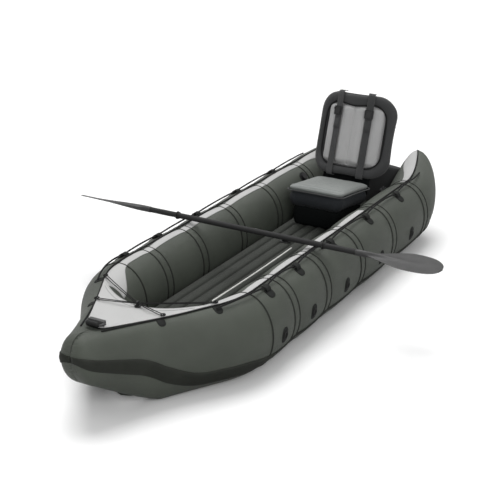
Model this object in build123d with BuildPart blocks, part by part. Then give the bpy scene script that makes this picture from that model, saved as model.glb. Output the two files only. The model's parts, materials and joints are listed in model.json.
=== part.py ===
"""Inflatable kayak with a clip-in seat and a two-piece paddle.

Millimetres. +Z is up, +Y runs from the bow to the stern, and the ground is the plane Z = 0.
The origin lies on the ground, on the centre plane, at mid length.
"""

from build123d import *
from math import asin, cos, radians, sin, sqrt
import os

os.makedirs("parts", exist_ok=True)

# Side tubes: an upright ellipse in section, straight amidships
TUBE_X = 358.0
TUBE_W = 150.0
TUBE_H = 191.0
SKIN = 3.0
STRAIGHT_BOW = -670.0
STRAIGHT_STERN = 1140.0
JOIN_GAP = 0.5

# Bow: each tube turns in on an arc, runs straight to the centre plane and ends in a dome
BOW_TURN = radians(28.0)
BOW_RADIUS = 470.0
BOW_ARC = BOW_TURN * BOW_RADIUS
BOW_LENGTH = BOW_ARC + (TUBE_X - BOW_RADIUS * (1.0 - cos(BOW_TURN))) / sin(BOW_TURN)
BOW_CROWN_RISE = 30.0
BOW_KEEL_RISE = 168.0
BOW_NARROWING = 58.0
DOME_LENGTH = 105.0
DOME_RISE = 40.0
BOW_COUNT = 18
BOW_STEPS = [i / BOW_COUNT for i in range(BOW_COUNT + 1)]
DOME_STEPS = [0.25, 0.5, 0.7, 0.85, 0.94, 0.985]

# Stern: each tube sweeps up and in to a blunt tip
STERN_LENGTH = 405.0
STERN_TURN = radians(35.0)
STERN_INSET = 103.0
STERN_CROWN_RISE = 60.0
STERN_KEEL_RISE = 400.0
STERN_TIP_W = 8.0
STERN_STEPS = [1.0, 0.97, 0.93, 0.87, 0.8, 0.72, 0.63, 0.54, 0.45, 0.36, 0.27, 0.18, 0.09, 0.0]

# Seams and trim that lie on the tubes, as heights above the skin
HOOP_YS = [-480.0, -144.0, 254.0, 662.0, 1110.0]
HOOP_HALF_SPAN = 25.0
HOOP_CORD = 8.0
HOOP_BASE = 0.4
HOOP_TOP = 2.4
TRIM_BASE = 2.8
TRIM_TOP = 4.6
BOW_SEAM_AT = 38.0

# Angles round the tube section: 0 points outboard, 90 up
STRIP_ANGLES = (89.0, 103.0)
STRIP_WIDENING = 38.0
PIPING_ANGLE = 85.0
PIPING_R = 3.5
PIPING_LIFT = 8.8
LIFELINE_ANGLE = 77.0
LIFELINE_R = 4.0
LIFELINE_LIFT = 12.0
LIFELINE_SWELL = 3.0
UPPER_PATCH_ANGLES = (58.0, 73.0)
UPPER_PATCH_LENGTH = 62.0
LOWER_PATCH_ANGLES = (-17.0, 1.0)
LOWER_PATCH_LENGTH = 50.0
PATCH_YS = [-616.0, -320.0, 50.0, 475.0, 885.0]
RING_R = 15.0
RING_WIRE = 2.4
RUB_LINE_HALF = 3.5
RUB_NOSE_HALF = 11.5
RUB_LOW_ANGLE = -34.0
RUB_HIGH_ANGLE = 2.0

# Floor and bottom
SHEET = 3.0
SHEET_INSET = 40.0
RAMP_STEPS = [0.52, 0.44, 0.35, 0.26, 0.18, 0.1, 0.0]
FLOOR_HALF = 200.0
FLOOR_LOW = 8.0
FLOOR_TOP = 177.0
FLOOR_STERN = 1150.0
FLOOR_CHANNELS = 6
CHANNEL_DIP = 12.0
FLOOR_VALVE = (-40.0, 398.0)

# Bow deck, its cords and handle
DECK_THICK = 2.5
DECK_LIFT = 6.0
DECK_SAG = 16.0
DECK_STEPS = [0.24, 0.36, 0.48, 0.6, 0.7, 0.8, 0.9]
DECK_BAY = (282.0, 228.0)
DECK_BAY_Y = -830.0
HOOK_Y = -1070.0
HOOK_Z = 374.5
CORD_R = 2.0
HANDLE_Y = -1400.0
HANDLE_Z = 427.0
HANDLE_HALF = 46.0
GRIP_R = 14.0
HANDLE_HINGE_Y = -1368.0
CORD_LOOP_R = 5.0

# Stern panel
PANEL_Y = 1362.0
PANEL_THICK = 52.0
PANEL_TOP = 388.0

# Seat: a cushion that slopes down to the rear, on a lower block that stands on the floor
SEAT_FRONT = 648.0
SEAT_TOP = 405.0
SEAT_SLOPE = 8.1
SEAT_DEPTH = 411.0
SEAT_HALF = 177.0
SEAT_PAD = 20.0
SEAT_THICK = 112.0
RISER_INSET = 34.0
PAD_CORNER = 34.0

# Backrest: leaned back from its lower front edge, which is the fold line, and bowed across
BACK_LEAN = 18.5
BACK_HINGE_Y = 1037.0
BACK_HINGE_Z = 402.0
BACK_HEIGHT = 466.0
BACK_BOW_R = 400.0
BACK_BOW_DEPTH = 200.0
BACK_HALF = 250.0
BACK_THICK = 50.0
BACK_CORNER = 112.0
BACK_BORDER = 60.0
RIBS = 5
STRAP_X = 96.0
STRAP_W = 40.0
STRAP_T = 3.0
STRAP_LIFT = 3.4
BUCKLE_DROP = 114.0
BUCKLE_LENGTH = 52.0

# Paddle, across the boat
PADDLE_Y = -77.0
PADDLE_Z = 410.0
SHAFT_R = 14.5
SHAFT_WALL = 2.0
NECK_X = 640.0
TIP_X = 1056.0
BLADE_W = 178.0
BLADE_T = 7.0
RIGHT_BLADE_TILT = 6.0
LEFT_BLADE_TILT = -25.0
DRIP_X = 430.0


def smooth(t):
    """Ease from 0 to 1."""
    t = min(max(t, 0.0), 1.0)
    return t * t * (3.0 - 2.0 * t)


def bow_station(s):
    """Plane across the right tube s mm forward of the straight, with half width and half height."""
    arc = min(s / BOW_RADIUS, BOW_TURN)
    run = max(s - BOW_ARC, 0.0)
    x = TUBE_X - BOW_RADIUS * (1.0 - cos(arc)) - run * sin(BOW_TURN)
    y = STRAIGHT_BOW - BOW_RADIUS * sin(arc) - run * cos(BOW_TURN)
    t = min(s / BOW_LENGTH, 1.0)
    crown = 2.0 * TUBE_H + BOW_CROWN_RISE * max(0.0, (t - 0.45) / 0.55) ** 1.4
    keel = BOW_KEEL_RISE * max(0.0, (t - 0.62) / 0.38) ** 1.15
    width = TUBE_W - BOW_NARROWING * smooth(t / 0.7)
    dome = min(max(s - BOW_LENGTH, 0.0) / DOME_LENGTH, 1.0)
    shrink = sqrt(1.0 - dome * dome)
    z = (crown + keel) / 2.0 + DOME_RISE * dome
    plane = Plane((x, y, z), x_dir=(cos(arc), -sin(arc), 0), z_dir=(-sin(arc), -cos(arc), 0))
    return plane, width * shrink, (crown - keel) / 2.0 * shrink


def stern_station(k, length=STERN_LENGTH):
    """The same at fraction k of the stern's length, 0 at the straight and 1 at the tip."""
    turn = STERN_TURN * k
    x = TUBE_X - STERN_INSET * k ** 1.6
    y = STRAIGHT_STERN + length * k
    crown = 2.0 * TUBE_H + STERN_CROWN_RISE * k ** 1.3
    keel = STERN_KEEL_RISE * k ** 1.7
    width = TUBE_W * sqrt(max(1.0 - k ** 1.75, 0.0)) + STERN_TIP_W * k
    plane = Plane((x, y, (crown + keel) / 2.0), x_dir=(cos(turn), sin(turn), 0),
                  z_dir=(sin(turn), -cos(turn), 0))
    return plane, width, (crown - keel) / 2.0


def straight_station(y):
    """The same in the straight part."""
    return Plane((TUBE_X, y, TUBE_H), x_dir=(1, 0, 0), z_dir=(0, -1, 0)), TUBE_W, TUBE_H


def skin_frame(station, angle, lift=0.0):
    """Plane touching the tube at an angle, its normal pointing out and its x along the tube."""
    plane, width, height = station
    a = radians(angle)
    point = plane.from_local_coords(((width + lift) * cos(a), (height + lift) * sin(a), 0))
    normal = plane.from_local_coords((height * cos(a), width * sin(a), 0)) - plane.origin
    return Plane(point, x_dir=plane.z_dir, z_dir=normal)


def skin_point(station, angle, lift=0.0):
    """Point over the tube's skin."""
    return skin_frame(station, angle, lift).origin


def tube_ellipse(station, grow):
    """Section of the tube, grown outwards."""
    plane, width, height = station
    with BuildSketch(plane) as section:
        Ellipse(width + grow, height + grow)
    return section.sketch


def tube_body(grow, gap, dome_steps, stern_length):
    """One whole right tube, cut off just outboard of the centre plane."""
    with BuildPart() as body:
        stations = [stern_station(k, stern_length) for k in STERN_STEPS]
        stations += [bow_station(t * BOW_LENGTH) for t in BOW_STEPS]
        stations += [bow_station(BOW_LENGTH + u * DOME_LENGTH) for u in dome_steps]
        for station in stations:
            add(tube_ellipse(station, grow))
        loft(ruled=True)
        split(bisect_by=Plane.YZ.offset(gap), keep=Keep.TOP)
    return body.part


def ribbon_section(station, low, high, base, top):
    """Section of a thin ribbon that lies on the tube between two angles."""
    plane, width, height = station
    count = 5
    angles = [radians(low + (high - low) * i / (count - 1)) for i in range(count)]
    inner = [((width + base) * cos(a), (height + base) * sin(a)) for a in angles]
    outer = [((width + top) * cos(a), (height + top) * sin(a)) for a in angles]
    with BuildSketch(plane) as section:
        with BuildLine():
            Spline(outer)
            Line(outer[-1], inner[-1])
            Spline(inner[::-1])
            Line(inner[0], outer[0])
        make_face()
    return section.sketch


def ribbon(stations, angles, base=TRIM_BASE, top=TRIM_TOP):
    """Thin ribbon along the tube, stern to bow; angles(i) gives its two edges at station i."""
    with BuildPart() as strip:
        for i, station in enumerate(stations):
            add(ribbon_section(station, *angles(i), base, top))
        loft(ruled=True)
    return strip.part


def rope(points, radius):
    """Round cord through points."""
    with BuildPart() as cord:
        with BuildLine() as path:
            Spline(points)
        with BuildSketch(Plane(path.line @ 0, z_dir=path.line % 0)):
            Circle(radius)
        sweep()
    return cord.part


def bar(start, end, radius):
    """Straight round bar between two points."""
    with BuildPart() as rod:
        with BuildSketch(Plane(start, z_dir=Vector(end) - Vector(start))):
            Circle(radius)
        extrude(amount=(Vector(end) - Vector(start)).length)
    return rod.part


def export(builder, name):
    """Label a finished piece and write its file."""
    builder.part.label = name
    export_step(builder.part, f"parts/{name}.step")


def export_both(builder, name):
    """Write a right-hand piece and its mirror image on the left."""
    export(builder, f"{name}_right")
    with BuildPart() as other:
        add(builder.part)
        mirror(about=Plane.YZ, mode=Mode.REPLACE)
    export(other, f"{name}_left")


# ---- Hull -------------------------------------------------------------------------------------

# Side tubes: hollow skins, each closed by a wall at the centre plane
with BuildPart() as side_tube:
    add(tube_body(0.0, JOIN_GAP, DOME_STEPS, STERN_LENGTH))
    add(tube_body(-SKIN, JOIN_GAP + SKIN, DOME_STEPS[:-1], STERN_LENGTH - SKIN), mode=Mode.SUBTRACT)
export_both(side_tube, "side_tube")

# Envelope of both tubes with a little clearance, used to trim what lies between them
with BuildPart() as tube_envelope:
    add(tube_body(0.6, 0.0, DOME_STEPS, STERN_LENGTH))
    mirror(about=Plane.YZ)

# Bottom sheet, flat on the ground, that follows the tubes' keels up to the stern panel
with BuildPart() as bottom_sheet:
    with BuildSketch():
        with BuildLine():
            Polyline((0, STRAIGHT_STERN), (318, STRAIGHT_STERN), (318, STRAIGHT_BOW), (267, -872),
                     (121, -1148), (40, -1210), (0, -1225), close=True)
        make_face()
        mirror(about=Plane.YZ)
    extrude(amount=SHEET)
    for k in RAMP_STEPS:
        plane, width, height = stern_station(k)
        keel = plane.origin.Z - height + SHEET / 2.0
        with BuildSketch(Plane((0, plane.origin.Y, keel), x_dir=(1, 0, 0), z_dir=(0, -1, 0))):
            Rectangle(2.0 * (plane.origin.X - SHEET_INSET), SHEET)
    loft(ruled=True)
export(bottom_sheet, "bottom_sheet")

# Inflated floor: lengthwise channels with a web between each pair, cut to the taper of the bow
CHANNEL_PITCH = 2.0 * FLOOR_HALF / FLOOR_CHANNELS
FLOOR_SIDE = FLOOR_TOP - CHANNEL_DIP


def floor_block(wall):
    """The floor's outside, or with a wall the air space of its channels."""
    with BuildPart() as block:
        with BuildSketch(Plane.XZ.offset(wall - FLOOR_STERN)):
            for i in range(FLOOR_CHANNELS):
                left = -FLOOR_HALF + i * CHANNEL_PITCH + wall
                right = left + CHANNEL_PITCH - 2.0 * wall
                with BuildLine():
                    Polyline((left, FLOOR_SIDE - wall), (left, FLOOR_LOW + wall),
                             (right, FLOOR_LOW + wall), (right, FLOOR_SIDE - wall))
                    ThreePointArc((left, FLOOR_SIDE - wall), ((left + right) / 2.0, FLOOR_TOP - wall),
                                  (right, FLOOR_SIDE - wall))
                make_face()
        extrude(amount=FLOOR_STERN + 1180.0)
        with BuildSketch():
            with BuildLine():
                Polyline((0, FLOOR_STERN), (FLOOR_HALF - wall, FLOOR_STERN), (FLOOR_HALF - wall, -720),
                         (170 - wall, -845), (98 - wall, -1026), (26 - wall, -1150),
                         (0, -1162 + wall), close=True)
            make_face()
            mirror(about=Plane.YZ)
        extrude(amount=2.0 * FLOOR_TOP, mode=Mode.INTERSECT)
    return block.part


with BuildPart() as floor:
    add(floor_block(0.0))
    add(floor_block(SKIN), mode=Mode.SUBTRACT)
export(floor, "floor")

# Stern panel between the tubes
with BuildPart() as stern_panel:
    with BuildSketch(Plane.XZ.offset(-PANEL_Y)):
        with BuildLine():
            Polyline((-330, PANEL_TOP - 60), (-330, 270), (-225, 150), (225, 150), (330, 270),
                     (330, PANEL_TOP - 60))
            ThreePointArc((330, PANEL_TOP - 60), (0, PANEL_TOP), (-330, PANEL_TOP - 60))
        make_face()
    extrude(amount=PANEL_THICK / 2.0, both=True)
    add(tube_envelope.part, mode=Mode.SUBTRACT)
export(stern_panel, "stern_panel")

# Hoop seams: a pair of cords at each hoop, and a single one where the bow begins
with BuildPart() as hoop_seams:
    for y in HOOP_YS:
        for edge in (-HOOP_HALF_SPAN, HOOP_HALF_SPAN):
            station = straight_station(y + edge + HOOP_CORD / 2.0)
            with BuildSketch(station[0]):
                Ellipse(TUBE_W + HOOP_TOP, TUBE_H + HOOP_TOP)
                Ellipse(TUBE_W + HOOP_BASE, TUBE_H + HOOP_BASE, mode=Mode.SUBTRACT)
            extrude(amount=HOOP_CORD)
    station = bow_station(BOW_SEAM_AT)
    with BuildSketch(station[0]):
        Ellipse(station[1] + HOOP_TOP - 0.7, station[2] + HOOP_TOP - 0.7)
        Ellipse(station[1] + 2.0 * HOOP_BASE, station[2] + HOOP_BASE, mode=Mode.SUBTRACT)
    extrude(amount=HOOP_CORD)
    split(bisect_by=Plane.XY, keep=Keep.TOP)
export_both(hoop_seams, "hoop_seams")

# Light strip along the inner half of the crown, wider towards both ends
strip_bow_steps = BOW_STEPS[:7]
strip_stern_steps = STERN_STEPS[1:]


def strip_angles(reach):
    """Edges of the strip, which widens as it goes a fraction of the way into an end."""
    return STRIP_ANGLES[0], STRIP_ANGLES[1] + STRIP_WIDENING * smooth(reach)


strip_at = [stern_station(k) for k in strip_stern_steps]
strip_at += [bow_station(t * BOW_LENGTH) for t in strip_bow_steps]
strip_reach = strip_stern_steps + [t / strip_bow_steps[-1] for t in strip_bow_steps]
with BuildPart() as crown_strip:
    add(ribbon(strip_at, lambda i: strip_angles(strip_reach[i])))
export_both(crown_strip, "crown_strip")

# Rub strake: a narrow line along the straight, a wide band from there round the nose
nose_at = [t * BOW_LENGTH for t in BOW_STEPS] + [BOW_LENGTH + u * DOME_LENGTH for u in DOME_STEPS[:4]]


def rub_angles(i):
    """Edges of the wide band, which climbs as it comes forward."""
    t = nose_at[i] / BOW_LENGTH
    middle = RUB_LOW_ANGLE + (RUB_HIGH_ANGLE - RUB_LOW_ANGLE) * smooth((t - 0.38) / 0.4)
    half = RUB_LINE_HALF + (RUB_NOSE_HALF - RUB_LINE_HALF) * smooth(t / 0.2)
    return middle - half, middle + half


with BuildPart() as rub_strake:
    add(ribbon([bow_station(s) for s in nose_at], rub_angles))
    split(bisect_by=Plane.YZ.offset(JOIN_GAP), keep=Keep.TOP)
export_both(rub_strake, "rub_strake")
with BuildPart() as rub_line:
    line_angles = (RUB_LOW_ANGLE - RUB_LINE_HALF, RUB_LOW_ANGLE + RUB_LINE_HALF)
    line_at = [stern_station(k) for k in STERN_STEPS[7:]] + [straight_station(STRAIGHT_BOW + 1.0)]
    add(ribbon(line_at, lambda i: line_angles))
export_both(rub_line, "rub_line")

# Edge piping along the crown, bow to stern
piping_at = [bow_station(t * BOW_LENGTH) for t in [0.88, 0.74, 0.6, 0.48, 0.36, 0.24, 0.12, 0.04]]
piping_at += [straight_station(STRAIGHT_BOW + (STRAIGHT_STERN - STRAIGHT_BOW) * i / 6.0)
              for i in range(7)]
piping_at += [stern_station(k) for k in [0.2, 0.4, 0.6, 0.8, 0.94]]
with BuildPart() as edge_piping:
    add(rope([skin_point(s, PIPING_ANGLE, PIPING_LIFT) for s in piping_at], PIPING_R))
export_both(edge_piping, "edge_piping")

# Lifeline: swells outwards between the patches that hold it
line_ys = sorted(PATCH_YS + HOOP_YS)
with BuildPart() as lifeline:
    path = [skin_point(bow_station(t * BOW_LENGTH), LIFELINE_ANGLE, LIFELINE_LIFT)
            for t in [0.3, 0.2, 0.1]]
    for y in line_ys:
        lift = LIFELINE_LIFT + (LIFELINE_SWELL if y in HOOP_YS else 0.0)
        turn = LIFELINE_ANGLE - (3.0 if y in PATCH_YS else 0.0)
        path.append(skin_point(straight_station(y), turn, lift))
    path.append(skin_point(stern_station(0.3), LIFELINE_ANGLE, LIFELINE_LIFT))
    add(rope(path, LIFELINE_R))
export_both(lifeline, "lifeline")


def patches(ys, angles, length):
    """Fabric pads on the straight part of the tube."""
    with BuildPart() as pads:
        for y in ys:
            ends = [straight_station(y + length / 2.0), straight_station(y - length / 2.0)]
            add(ribbon(ends, lambda i: angles))
    return pads.part


with BuildPart() as upper_patches:
    add(patches(PATCH_YS, UPPER_PATCH_ANGLES, UPPER_PATCH_LENGTH))
export_both(upper_patches, "upper_patches")
with BuildPart() as lower_patches:
    add(patches(PATCH_YS, LOWER_PATCH_ANGLES, LOWER_PATCH_LENGTH))
export_both(lower_patches, "lower_patches")

# Rings that hang on the lower patches
with BuildPart() as side_rings:
    for y in PATCH_YS:
        with Locations(skin_frame(straight_station(y), -8.0, TRIM_TOP + RING_WIRE + 0.6)):
            Torus(RING_R, RING_WIRE)
export_both(side_rings, "side_rings")

# Bow deck: a sagging sheet from crown to crown, with a hollow rear edge
with BuildPart() as bow_deck:
    for t in DECK_STEPS:
        plane, width, height = bow_station(t * BOW_LENGTH)
        edge = plane.from_local_coords((0, height, 0))
        sag = DECK_SAG * min(1.0, edge.X / 200.0)
        z = edge.Z + DECK_LIFT
        with BuildSketch(Plane.XZ.offset(-edge.Y)):
            with BuildLine():
                ThreePointArc((-edge.X, z), (0, z - sag - 2.0), (edge.X, z))
                Line((edge.X, z), (edge.X, z + DECK_THICK))
                ThreePointArc((edge.X, z + DECK_THICK), (0, z - sag - 2.0 + DECK_THICK),
                              (-edge.X, z + DECK_THICK))
                Line((-edge.X, z + DECK_THICK), (-edge.X, z))
            make_face()
    loft()
    with BuildSketch(Plane.XY.offset(300.0)):
        with Locations((0, DECK_BAY_Y)):
            Ellipse(*DECK_BAY)
    extrude(amount=300.0, mode=Mode.SUBTRACT)
export(bow_deck, "bow_deck")

# Deck anchors: two on each tube, and the hook on the centre line that the cords meet at
anchor_steps = [0.285, 0.56]
anchors = [skin_point(bow_station(t * BOW_LENGTH), 90.0, 18.0) for t in anchor_steps]
with BuildPart() as deck_rings:
    for anchor in anchors:
        for side in (-1, 1):
            with Locations(Plane((side * anchor.X, anchor.Y, anchor.Z + 4.0), z_dir=(1, 0, 0))):
                Torus(9.0, RING_WIRE)
export(deck_rings, "deck_rings")
with BuildPart() as deck_hook:
    with BuildSketch(Plane.XY.offset(HOOK_Z)):
        with Locations((0, HOOK_Y)):
            Circle(15.0)
    extrude(amount=5.0)
    with BuildSketch(Plane.XY.offset(HOOK_Z + 5.0)):
        with Locations((0, HOOK_Y)):
            SlotOverall(22.0, 9.0, rotation=90.0)
    extrude(amount=22.0)
    fillet(faces().sort_by(Axis.Z)[-1].edges(), 3.0)
export(deck_hook, "deck_hook")
with BuildPart() as deck_cords:
    for anchor in anchors:
        for side in (-1, 1):
            for spread in (-5.0, 5.0):
                outer = Vector(side * (anchor.X - 3.0), anchor.Y + spread, anchor.Z + 1.0)
                knot = Vector(side * 7.6, HOOK_Y + spread, HOOK_Z + 20.0)
                add(bar(outer, knot, CORD_R))
export(deck_cords, "deck_cords")

# Bow handle: a rubber grip on a stiff cord loop that turns in a sleeve sewn to the deck


def grip(plane):
    """Bored rubber grip, centred on a plane whose x runs along it."""
    with BuildPart() as roll:
        with BuildSketch(Plane(plane.origin, x_dir=plane.y_dir, z_dir=plane.x_dir)):
            Circle(GRIP_R)
            Circle(5.5, mode=Mode.SUBTRACT)
        extrude(amount=HANDLE_HALF, both=True)
        fillet(edges().filter_by(GeomType.CIRCLE).group_by(SortBy.RADIUS)[-1], 3.0)
    return roll.part


with BuildPart() as bow_grip:
    add(grip(Plane((0, HANDLE_Y, HANDLE_Z))))
export(bow_grip, "bow_grip")
arm_x = HANDLE_HALF + 9.0
with BuildPart() as bow_handle_cord:
    for y in (HANDLE_Y, HANDLE_HINGE_Y):
        add(bar((-arm_x - CORD_LOOP_R, y, HANDLE_Z), (arm_x + CORD_LOOP_R, y, HANDLE_Z), CORD_LOOP_R))
    for side in (-1, 1):
        add(bar((side * arm_x, HANDLE_Y, HANDLE_Z), (side * arm_x, HANDLE_HINGE_Y, HANDLE_Z), CORD_LOOP_R))
export(bow_handle_cord, "bow_handle_cord")
with BuildPart() as bow_handle_mount:
    with Locations((0, HANDLE_HINGE_Y, HANDLE_Z - 3.0)):
        Box(80, 18, 22)
    with BuildSketch(Plane((0, HANDLE_HINGE_Y, HANDLE_Z), x_dir=(0, 1, 0), z_dir=(1, 0, 0))):
        Circle(CORD_LOOP_R + 0.1)
    extrude(amount=60.0, both=True, mode=Mode.SUBTRACT)
export(bow_handle_mount, "bow_handle_mount")

# Valves: a flange and neck welded to the skin, and a cap that swings on its tether
VALVE_Y = 1020.0
VALVE_ANGLE = 132.0


def valve_body(plane):
    """Flange, neck and bore."""
    with BuildPart() as body:
        with BuildSketch(plane):
            Circle(30.0)
        extrude(amount=3.0)
        with BuildSketch(plane.offset(3.0)):
            Circle(19.0)
        extrude(amount=8.0)
        with BuildSketch(plane.offset(11.0)):
            Circle(13.0)
        extrude(amount=-9.0, mode=Mode.SUBTRACT)
        chamfer(faces().sort_by(Axis(plane.origin, plane.z_dir))[-1].edges(), 1.0)
    return body.part


def valve_cap(plane):
    """Cap with a plug and a grip tab on its rim."""
    with BuildPart() as cap:
        with BuildSketch(plane.offset(11.3)):
            Circle(21.0)
            with Locations((0, 22.0)):
                SlotOverall(18.0, 10.0)
        extrude(amount=4.0)
        with BuildSketch(plane.offset(11.3)):
            Circle(11.5)
        extrude(amount=-6.0)
    return cap.part


side_valve_plane = skin_frame(straight_station(VALVE_Y), VALVE_ANGLE, 0.6)
floor_valve_plane = Plane((FLOOR_VALVE[0], FLOOR_VALVE[1], FLOOR_TOP + 0.6))
with BuildPart() as side_valve:
    add(valve_body(side_valve_plane))
export_both(side_valve, "side_valve")
with BuildPart() as side_valve_cap:
    add(valve_cap(side_valve_plane))
export_both(side_valve_cap, "side_valve_cap")
with BuildPart() as floor_valve:
    add(valve_body(floor_valve_plane))
export(floor_valve, "floor_valve")
with BuildPart() as floor_valve_cap:
    add(valve_cap(floor_valve_plane))
export(floor_valve_cap, "floor_valve_cap")

# Paddle leash: from the rear corner of the bow deck to just short of the shaft
LEASH_X = 262.0
with BuildPart() as paddle_leash:
    add(bar((LEASH_X, -858.0, 379.0), (LEASH_X, PADDLE_Y - 26.0, 372.0), 3.0))
export(paddle_leash, "paddle_leash")

# ---- Seat -------------------------------------------------------------------------------------


seat_plane = Plane((0, SEAT_FRONT, SEAT_TOP), x_dir=(1, 0, 0),
                   z_dir=(0, sin(radians(SEAT_SLOPE)), cos(radians(SEAT_SLOPE))))


def seat_block(inset, top, bottom):
    """Cushion with rounded corners; top and bottom are depths under the seat's top plane."""
    with BuildPart() as block:
        with BuildSketch(seat_plane.offset(-bottom)):
            with Locations((0, SEAT_DEPTH / 2.0)):
                RectangleRounded(2.0 * (SEAT_HALF - inset), SEAT_DEPTH - 2.0 * inset,
                                 PAD_CORNER - inset / 2.0)
        extrude(amount=bottom - top)
    return block.part


def rim(plane):
    """Edges round the outer face that looks along a plane's normal."""
    return faces().sort_by(Axis(plane.origin, plane.z_dir))[-1].outer_wire().edges()


with BuildPart() as seat_base:
    add(seat_block(0.0, SEAT_PAD + 0.5, SEAT_THICK))
    fillet(rim(seat_plane), 6.0)
    add(seat_block(SKIN, SEAT_PAD + 0.5 + SKIN, SEAT_THICK - SKIN), mode=Mode.SUBTRACT)
export(seat_base, "seat_base")
with BuildPart() as seat_pad:
    add(seat_block(5.0, 0.0, SEAT_PAD))
    fillet(rim(seat_plane), 9.0)
export(seat_pad, "seat_pad")


def riser_block(wall):
    """Lower block between the floor and the cushion, or with a wall its air space."""
    with BuildPart() as block:
        add(seat_block(RISER_INSET + wall, SEAT_THICK + 0.5 + wall, SEAT_TOP))
        split(bisect_by=Plane.XY.offset(FLOOR_TOP + 0.5 + wall), keep=Keep.TOP)
    return block.part


with BuildPart() as seat_riser:
    add(riser_block(0.0))
    add(riser_block(SKIN), mode=Mode.SUBTRACT)
export(seat_riser, "seat_riser")

# ---- Backrest: x across, y up the back, z out of its front face ---------------------------------

back_plane = Plane((0, BACK_HINGE_Y, BACK_HINGE_Z), x_dir=(1, 0, 0),
                   z_dir=(0, -cos(radians(BACK_LEAN)), sin(radians(BACK_LEAN))))
back_rear = back_plane.offset(-BACK_BOW_DEPTH)
back_middle = BACK_HEIGHT / 2.0
panel_corner = BACK_CORNER - BACK_BORDER / 2.0


def back_slab(low, high):
    """Slab bowed across the back, between two offsets from its front face."""
    with BuildPart() as slab:
        foot = back_plane.from_local_coords((0, -20.0, 0))
        with BuildSketch(Plane(foot, x_dir=(1, 0, 0), z_dir=back_plane.y_dir)):
            with Locations((0, BACK_BOW_R)):
                Circle(BACK_BOW_R + high)
                Circle(BACK_BOW_R + low, mode=Mode.SUBTRACT)
        extrude(amount=BACK_HEIGHT + 40.0)
    return slab.part


def strap_plane(side, lift):
    """Plane that touches the bowed front face, raised by lift, where a strap runs."""
    turn = asin(side * STRAP_X / BACK_BOW_R)
    point = (side * STRAP_X + lift * sin(turn), 0, (BACK_BOW_R + lift) * cos(turn) - BACK_BOW_R)
    origin = back_plane.from_local_coords(point)
    across = back_plane.from_local_coords((cos(turn), 0, -sin(turn))) - back_plane.origin
    normal = back_plane.from_local_coords((sin(turn), 0, cos(turn))) - back_plane.origin
    return Plane(origin, x_dir=across, z_dir=normal)


# Fabric flap that ties the backrest's foot to the cushion
with BuildPart() as backrest_flap:
    flap_start = seat_plane.from_local_coords((0, SEAT_DEPTH + 3.0, -SEAT_THICK * 0.6))
    flap_end = back_plane.from_local_coords((0, -4.0, -BACK_THICK))
    run = flap_end - flap_start
    with BuildSketch(Plane(flap_start, x_dir=(1, 0, 0), z_dir=run)):
        Rectangle(300.0, 3.0)
    extrude(amount=run.length - 2.0)
export(backrest_flap, "backrest_flap")

with BuildPart() as backrest_frame:
    with BuildSketch(back_rear):
        with Locations((0, back_middle)):
            RectangleRounded(2 * BACK_HALF, BACK_HEIGHT, BACK_CORNER)
            RectangleRounded(2 * (BACK_HALF - BACK_BORDER), BACK_HEIGHT - 2 * BACK_BORDER,
                             panel_corner, mode=Mode.SUBTRACT)
    extrude(amount=BACK_BOW_DEPTH)
    add(back_slab(-BACK_THICK, 0.0), mode=Mode.INTERSECT)
export(backrest_frame, "backrest_frame")

with BuildPart() as backrest_cover:
    with BuildSketch(back_rear):
        with Locations((0, back_middle)):
            RectangleRounded(2 * BACK_HALF - 16, BACK_HEIGHT - 16, BACK_CORNER - 8)
    extrude(amount=BACK_BOW_DEPTH)
    add(back_slab(-BACK_THICK - 4.5, -BACK_THICK - 0.5), mode=Mode.INTERSECT)
export(backrest_cover, "backrest_cover")

# Ribbed panels: padded channels inside the border
with BuildPart() as backrest_panels:
    inside = 2.0 * (BACK_HALF - BACK_BORDER) - 6.0
    rib = inside / RIBS
    with BuildSketch(back_rear):
        with Locations((0, back_middle)):
            RectangleRounded(inside, BACK_HEIGHT - 2 * BACK_BORDER - 6.0, panel_corner - 3.0)
    extrude(amount=BACK_BOW_DEPTH)
    add(back_slab(-BACK_THICK + 0.5, -10.0), mode=Mode.INTERSECT)
    with BuildPart(mode=Mode.PRIVATE) as grooves:
        with BuildSketch(back_rear):
            with Locations([(i * rib - inside / 2.0, back_middle) for i in range(1, RIBS)]):
                Rectangle(5.0, BACK_HEIGHT)
        extrude(amount=BACK_BOW_DEPTH)
        add(back_slab(-19.0, 0.0), mode=Mode.INTERSECT)
    add(grooves.part, mode=Mode.SUBTRACT)
export(backrest_panels, "backrest_panels")

# Piping round the opening
with BuildPart() as backrest_piping:
    with BuildSketch(back_rear):
        with Locations((0, back_middle)):
            RectangleRounded(2 * (BACK_HALF - BACK_BORDER) + 26, BACK_HEIGHT - 2 * BACK_BORDER + 26,
                             panel_corner + 13)
            RectangleRounded(2 * (BACK_HALF - BACK_BORDER) + 12, BACK_HEIGHT - 2 * BACK_BORDER + 12,
                             panel_corner + 6, mode=Mode.SUBTRACT)
    extrude(amount=BACK_BOW_DEPTH + 20.0)
    add(back_slab(0.5, 3.0), mode=Mode.INTERSECT)
export(backrest_piping, "backrest_piping")

# Two webbing straps, from the bottom edge over the top
with BuildPart() as backrest_straps:
    for side in (-1, 1):
        with BuildSketch(strap_plane(side, STRAP_LIFT + 0.4)):
            with Locations((0, back_middle)):
                Rectangle(STRAP_W, BACK_HEIGHT + 2.0)
        extrude(amount=STRAP_T)
        with BuildSketch(strap_plane(side, STRAP_LIFT + STRAP_T + 0.4)):
            with Locations((0, BACK_HEIGHT + 1.0 + STRAP_T / 2.0)):
                Rectangle(STRAP_W, STRAP_T)
        extrude(amount=-(BACK_THICK / 2.0 + STRAP_LIFT + STRAP_T))
export(backrest_straps, "backrest_straps")

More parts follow.
